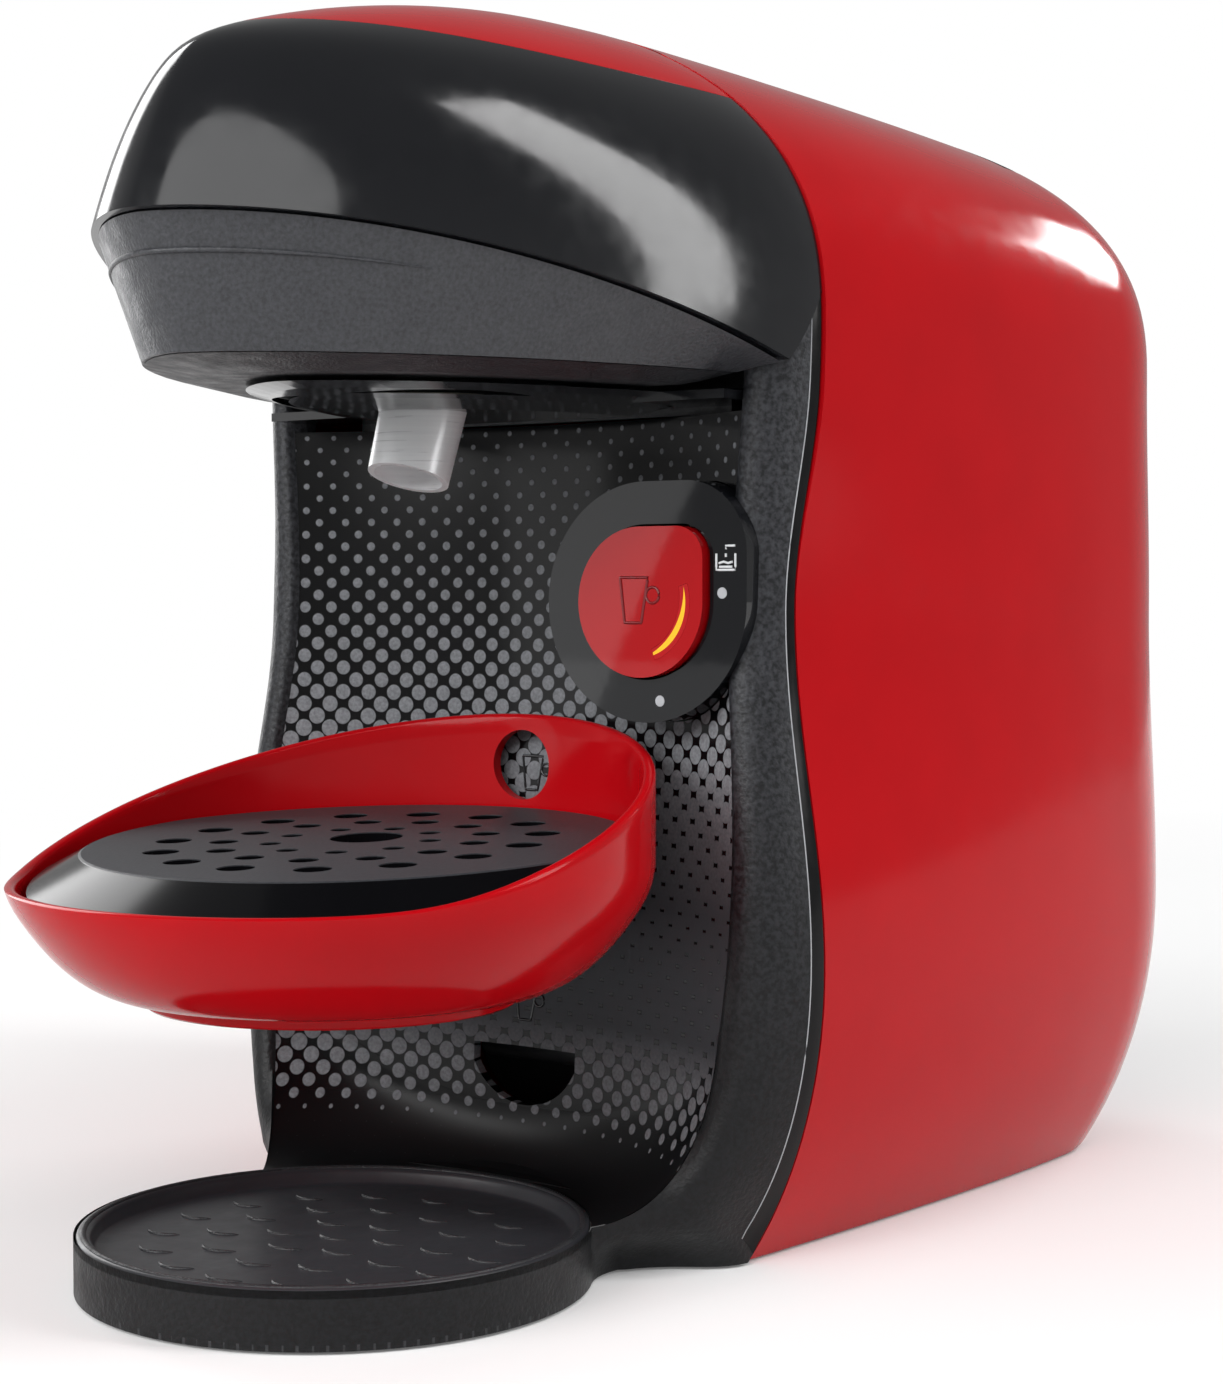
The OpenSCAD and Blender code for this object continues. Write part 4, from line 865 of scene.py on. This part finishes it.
# Its outer edge: down the seam, forward over the table and round the neck
seam_foot = [column_ends(z)[1] for z in np.linspace(SWEEP_Z, 3, 24)]
heel_x, heel_y = seam_foot[-1][:2]
ground = bezier(
    [
        (heel_x, heel_y, STAND),
        (heel_x - 1, heel_y - 12, STAND),
        (NECK_X - 8, NECK_Y + 16, STAND),
        (NECK_X - NECK_R * 0.95, NECK_Y + 3, STAND),
    ],
    24,
)
hollow = [
    (NECK_X - NECK_R * math.sin(a), NECK_Y + NECK_R * math.cos(a), STAND)
    for a in np.linspace(1.35, math.pi - NECK_TURN, 14)
]
ground_end = (neck[0], neck[1], STAND)
outer = along(np.concatenate([seam_foot, ground[1:], hollow, [ground_end]]), FOOT_ROWS)
ON_GROUND = 23  # from this row on the outer edge lies on the ground


def wall_row(inner, rim, share):
    """One strip of the grained wall; share turns it from a column's face (0) to an upright side (1)."""
    inner, rim = np.asarray(inner, float), np.asarray(rim, float)
    span = np.linalg.norm(rim - inner)
    down = np.array([0.0, 0.0, -1.0])
    leave = mix(np.array([0.86, -0.5, 0.0]), down, share)
    reach = mix(np.array([0.1, 1.0, 0.0]), down, min(1, share * 1.15))
    leave, reach = leave / np.linalg.norm(leave), reach / np.linalg.norm(reach)
    line = bezier(
        [inner, inner + leave * span * 0.45, rim - reach * span * mix(0.2, 0.4, share), rim], 16
    )
    tuck = inner + np.array([-1.6 * (1 - share), 7.0 * (1 - share), -1.5 * share])
    return np.concatenate([[tuck], line])


rows = [
    wall_row(*column_ends(z), 0.0)
    for z in np.linspace(COLUMN_TOP, SWEEP_Z, COLUMN_ROWS, endpoint=False)
]
# Flat end on top of the column, seen when the lid is up
flat_end = rows[0].copy()
flat_end[:, 0] = np.minimum(flat_end[:, 0], flat_end[-1, 0] - 2.5)
flat_end[:, 1] = flat_end[:, 1].max() + 1.5
rows.insert(0, flat_end)
rows += [
    wall_row(b, o, float(ease(i / (FOOT_ROWS - 1)))) for i, (b, o) in enumerate(zip(border, outer))
]
rows += [
    wall_row(on_saucer(a, SAUCER_TOP), on_saucer(a, STAND), 1.0)
    for a in np.linspace(NECK_TURN, math.pi, 60)[1:]
]
rows += [row * MIRRORED for row in rows[-2::-1]]
frame_shell = grid_piece("frame_shell", rows)
make_outward(frame_shell)

# Polished strip where the columns meet the sleeve, and along its inner edge the path of a light grey bead
# that is a painted highlight
edges, highlight_lines = [], []
for side, side_name in ((-1, "left"), (1, "right")):
    kept = [row for row in rows if side * row[-1][0] > 0 and row[-1][1] > SPLIT_Y - 1]
    strip = [row[-4:] + (side * 0.06, -0.07, 0) for row in kept]
    highlight_lines.append([(*row[-4], 0.14) for row in kept])
    edges.append(grid_piece("frame_edge_" + side_name, strip))

# Underside of the foot
base = [tuple(p[:2]) for p in outer[ON_GROUND:]]
base += [on_saucer(a, 0)[:2] for a in np.linspace(NECK_TURN, math.pi, 40)[1:]]
base += [(-x, y) for x, y in base[-2::-1]]
underside = prism("foot_underside", base, "z", STAND, STAND + 1.2)


def foot_point(t, v):
    """Point of the panel's foot: t runs from the hollow wall to the saucer, v from side to side."""
    edge = abs(v)
    z0 = mix(24.3, SWEEP_Z, edge**2.2)
    r = panel_radius(z0)
    turn = v * math.asin((corner[0] - SEAM) / panel_radius(SWEEP_Z))
    start = (r * math.sin(turn), PANEL_Y + r * math.cos(turn) - 0.12, z0)
    stop = on_saucer(v * NECK_TURN, SAUCER_TOP + 0.1, DISH_R)
    n, a = mix(1.9, 2.1, edge**3), t * math.pi / 2
    out, down = 1 - math.cos(a) ** (2 / n), math.sin(a) ** (2 / n)
    shares = (out, out, down)
    point = np.array([mix(p, q, share) for p, q, share in zip(start, stop, shares)])
    rim = border[min(FOOT_ROWS - 1, int(round(t * (FOOT_ROWS - 1))))]
    rim = rim + np.array([-0.3 * np.sign(v), 0.2, 0.05])
    return mix(point, rim * (MIRRORED if v < 0 else 1), edge**9)


panel_foot = grid_piece(
    "panel_foot",
    [
        np.array([foot_point(t, v) for v in np.linspace(-1, 1, 121)])
        for t in np.linspace(0, 1, FOOT_ROWS)
    ],
)

# Saucer's top: a rounded rim, a step and the sunk floor, as (radius, height) pairs
profile = [
    (DISH_R, SAUCER_TOP - 0.6), (49.3, SAUCER_TOP + 0.05), (48.2, SAUCER_TOP + 0.3), (47.2, SAUCER_TOP),
    (46.6, SAUCER_TOP - 0.7), (46.1, SAUCER_FLOOR + 0.5), (45.4, SAUCER_FLOOR + 0.12),
    (43.5, SAUCER_FLOOR + 0.06), (0.01, SAUCER_FLOOR + 0.06),
]
dish = turned("saucer_dish", profile, SAUCER_Y, 181)
for piece, material, name in (
    (frame_shell, column_grain_painted_shade(), "satin_black"), (underside, black_grain, "satin_black"),
    (panel_foot, panel, "gloss_black"), (dish, black_satin, "satin_black"),
    (edges[0], edge_black, "gloss_black"), (edges[1], edge_black, "gloss_black"),
):
    smooth(piece, 60)
    dress(piece, material)
    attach(piece, "housing")
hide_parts("front_frame")

# ---- Marks ----
def sweep(name, strokes, sides=8):
    """Round beads along strokes; each is a list of (x, y, z, radius), with closed ends."""
    points, faces = [], []
    for stroke in strokes:
        path = np.array([p[:3] for p in stroke], float)
        ahead = np.gradient(path, axis=0)
        first = len(points)
        for centre, heading, radius in zip(path, ahead, [p[3] for p in stroke]):
            heading = Vector(heading).normalized()
            level = heading.cross(Vector((0, 0, 1)))
            side = (heading.orthogonal() if abs(heading.z) > 0.99 else level).normalized()
            up = side.cross(heading)
            for i in range(sides):
                a = 2 * math.pi * i / sides
                points.append(Vector(centre) + (side * math.cos(a) + up * math.sin(a)) * radius)
        n = len(stroke)
        for k in range(n - 1):
            for i in range(sides):
                a, b = first + k * sides + i, first + k * sides + (i + 1) % sides
                faces.append((a, b, b + sides, a + sides))
        faces.append(tuple(first + i for i in range(sides - 1, -1, -1)))
        faces.append(tuple(first + (n - 1) * sides + i for i in range(sides)))
    return make_outward(new_piece(name, points, faces))


def arc(cx, cz, r, a0, a1, steps=16):
    turns = np.radians(np.linspace(a0, a1, steps))
    return [(cx + r * math.cos(a), cz + r * math.sin(a)) for a in turns]


def on_face(strokes, centre, y, width):
    """Flat strokes of (x, z) pairs laid on an upright face."""
    return [[(centre[0] + x, y, centre[1] + z, width) for x, z in fine(stroke)] for stroke in strokes]


def on_panel(strokes, centre, width):
    """Flat strokes laid on the hollow panel."""
    laid = []
    for stroke in strokes:
        line = []
        for x, z in fine(stroke):
            x, z = centre[0] + x, centre[1] + z
            r = panel_radius(z)
            line.append((x, PANEL_Y + math.sqrt(r * r - x * x), z, width))
        laid.append(line)
    return laid


def fine(stroke, step=0.6):
    """The stroke with points at most a step apart."""
    out = [stroke[0]]
    for a, b in zip(stroke, stroke[1:]):
        n = max(1, int(math.dist(a, b) / step))
        out += [(mix(a[0], b[0], i / n), mix(a[1], b[1], i / n)) for i in range(1, n + 1)]
    return out


# Plain pictograms as (x, z) strokes: a cup, and water running into a tank
CUP = [
    [(-3.8, 4.5), (-2.7, -4.5), (1.3, -4.5), (2.9, 4.5), (-3.8, 4.5)],
    arc(4.0, 1.0, 1.6, 180, -180),
]
SMALL_CUP = [[(x * 0.8, z * 0.8) for x, z in line] for line in CUP]
FILL = [
    [(-2.2, 0.9), (-2.2, -2.3), (2.2, -2.3), (2.2, 0.9)],
    [(-1.6, -1.0), (-0.5, -0.7), (0.5, -1.0), (1.6, -0.7)],
    [(-1.5, -1.7), (1.5, -1.7)],
    [(0, 0.9), (0, 0.2)],
    [(0, 1.7), (0, 2.4), (2.2, 2.4)],
]
cup_mark = sweep("cup_mark", on_face(CUP, (BEZEL[0] - 0.8, BEZEL[2] + 0.4), BUTTON_Y, 0.3))
fill_mark = sweep("fill_mark", on_face(FILL, (BEZEL[0] + 19.2, BEZEL[2] + 8.6), BEZEL[1], 0.24))
# Light grey beads along the columns' polished strips: a painted highlight
painted_highlight_beads = sweep("painted_highlight_beads", highlight_lines)
height_marks = sweep(
    "height_marks",
    on_panel(SMALL_CUP, (0, 46.5), 0.3) + on_panel(SMALL_CUP, (0, 95.5), 0.3),
)


def smile(x, y):
    """A curved rib on the saucer's floor, larger towards the front."""
    size = mix(3.4, 4.6, (35 - y) / 70)
    points = []
    for t in np.linspace(-1, 1, 15):
        bend = 1 - t * t
        thick = 0.1 + 0.36 * math.sqrt(max(0, bend))
        points.append((x + size * t, SAUCER_Y + y - size * 0.5 * bend, SAUCER_FLOOR + 0.06, thick))
    return points


smiles = []
for ring_r, count in ((0, 1), (11.5, 6), (23, 11), (34.5, 16)):
    for i in range(count):
        a = 2 * math.pi * (i + 0.25) / count
        smiles.append(smile(ring_r * math.cos(a), ring_r * math.sin(a)))
saucer_marks = sweep("saucer_marks", smiles)
ridge = [
    (48.2 * math.cos(a), SAUCER_Y + 48.2 * math.sin(a), SAUCER_TOP - 0.15, 0.75)
    for a in np.linspace(0, 2 * math.pi, 145)
]
saucer_ridge = sweep("saucer_ridge", [ridge])


def crease_point(degrees, first, span, share=0.72):
    """Point of the crease across the lid's band, at a share of the band's height."""
    a = math.radians(degrees)
    lip = float(np.interp(a / math.pi * LID_STEPS, range(LID_STEPS + 1), LIP))
    half = mix(BAND_HALF, FRONT[2] - LIP_STEP, share)
    reach = mix(BAND_REACH, LID_REACH - LIP_STEP, share)
    x = half * float(power(np.cos(a), 2 / PLAN_POWER))
    y = LID_BACK_Y - reach * float(plan_reach(a))
    fade = math.sin(math.pi * (degrees - first) / span) ** 0.5
    return x, y, mix(BAND_Z - BAND_DROP, lip - BAND_SEAM, share), 0.05 + 0.5 * fade


band_crease = sweep("band_crease", [[crease_point(d, 50, 80) for d in np.linspace(50, 130, 60)]])

for piece, body, material, name in (
    (cup_mark, "start_button", red_dark, "gloss_red"),
    (fill_mark, "housing", print_white, "lens"),
    (painted_highlight_beads, "housing", painted_highlight_grey, "satin_black"),
    (height_marks, "housing", black_gloss, "gloss_black"),
    (saucer_marks, "housing", black_grain, "satin_black"),
    (saucer_ridge, "housing", black_grain, "satin_black"),
    (band_crease, "lid", band_grain, "satin_black"),
):
    smooth(piece, 60)
    dress(piece, material)
    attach(piece, body)

# ---- Camera, solved from the photo's ellipses ----
lens = bpy.data.cameras.new("camera")
lens.lens = 67.3
lens.sensor_fit = "VERTICAL"
lens.sensor_height = 36
lens.clip_end = 20
lens.shift_x = -0.005
camera = bpy.data.objects.new("camera", lens)
camera.location = (0.3346, -0.4639, 0.133)
camera.rotation_euler = Euler((math.radians(87.9), 0, math.radians(35.5)))
bpy.context.scene.collection.objects.link(camera)
bpy.context.scene.camera = camera

# ---- Floor, light and background ----
WHITE, BLACK = (1, 1, 1, 1), (0, 0, 0, 1)


def pale_floor():
    """Pale matt floor near the part that fades into the white background."""
    s = Shade("pale_floor")
    length = s.add("ShaderNodeVectorMath", operation="LENGTH")
    s.link(s.place, length.inputs[0])
    far_share = s.range(length.outputs["Value"], 0.25, 1.1, 0, 1)
    near_tone = s.ramp(s.noise(3, 2), [(0.3, (0.80, 0.80, 0.80, 1)), (0.7, (0.83, 0.83, 0.83, 1))])
    s.set(Base_Color=s.blend(far_share, near_tone, BLACK), Roughness=0.9, Specular_IOR_Level=0.0)
    path = s.add("ShaderNodeLightPath")
    seen = s.math("MAXIMUM", path.outputs["Is Camera Ray"], path.outputs["Is Glossy Ray"])
    seen = s.math("MAXIMUM", seen, path.outputs["Is Transmission Ray"])
    glow = s.math("MULTIPLY", seen, s.range(far_share, 0, 1, 0.12, 1.0))
    s.set(Emission_Color=WHITE, Emission_Strength=glow)
    return s.mat


FLOOR_HALF = 4000
floor_corners = [(x * FLOOR_HALF, y * FLOOR_HALF, 0) for x, y in ((-1, -1), (1, -1), (1, 1), (-1, 1))]
floor = new_piece("floor", floor_corners, [(0, 1, 2, 3)])
dress(floor, pale_floor())


def studio_world():
    """White behind the part, and a dim sky, lighter below, for everything it mirrors."""
    world = bpy.data.worlds.new("studio")
    world.use_nodes = True
    nodes, link = world.node_tree.nodes, world.node_tree.links.new
    place = nodes.new("ShaderNodeTexCoord")
    split = nodes.new("ShaderNodeSeparateXYZ")
    link(place.outputs["Generated"], split.inputs[0])
    sky = nodes.new("ShaderNodeValToRGB")
    for element, (at, v) in zip(sky.color_ramp.elements, ((0.0, 0.4), (0.7, 0.2))):
        element.position = at
        element.color = (v, v, v, 1)
    link(split.outputs[2], sky.inputs["Fac"])
    path = nodes.new("ShaderNodeLightPath")
    clear = nodes.new("ShaderNodeMath")
    clear.operation = "MAXIMUM"
    link(path.outputs["Is Camera Ray"], clear.inputs[0])
    link(path.outputs["Is Transmission Ray"], clear.inputs[1])
    pick = nodes.new("ShaderNodeMix")
    pick.data_type = "RGBA"
    pick.inputs[7].default_value = WHITE
    link(clear.outputs[0], pick.inputs[0])
    link(sky.outputs["Color"], pick.inputs[6])
    link(pick.outputs[2], nodes["Background"].inputs["Color"])
    nodes["Background"].inputs["Strength"].default_value = 1.0
    return world


bpy.context.scene.world = studio_world()


def soft_light(name, place, aim, size, watts, shape="RECTANGLE", roll=0):
    """An area lamp at a place, aimed at a point and rolled about its axis by degrees."""
    lamp = bpy.data.lights.new(name, "AREA")
    lamp.shape, lamp.size, lamp.size_y, lamp.energy = shape, size[0], size[1], watts
    obj = bpy.data.objects.new(name, lamp)
    obj.location = place
    look = (Vector(aim) - Vector(place)).to_track_quat("-Z", "Y")
    obj.rotation_euler = (look @ Quaternion((0, 0, 1), math.radians(roll))).to_euler()
    bpy.context.scene.collection.objects.link(obj)


soft_light("side", (1.25, 0.45, 1.12), (0, -0.05, 0.2), (0.42, 1.7), 17)
soft_light("rear", (0.24, 1.7, 0.93), (0, 0.05, 0.2), (0.5, 0.28), 7)
soft_light("front", (-0.5, -1.6, 0.82), (0, -0.03, 0.1), (1.6, 0.8), 20, "ELLIPSE")
soft_light("brow", (0.45, -1.3, 1.2), (0, -0.1, 0.2), (1.9, 1.0), 13, "ELLIPSE")
soft_light("left", (-1.3, 0.35, 0.6), (0, 0, 0.14), (0.4, 1.1), 6)
# Weak lamp whose slanted edge is mirrored across the start button and its ring
soft_light("glint", (-1.009, -1.14, 0.229), (-0.148, 0.088, 0.232), (0.5, 0.9), 1.6, roll=-23.5)

bpy.context.scene.view_settings.view_transform = "Standard"
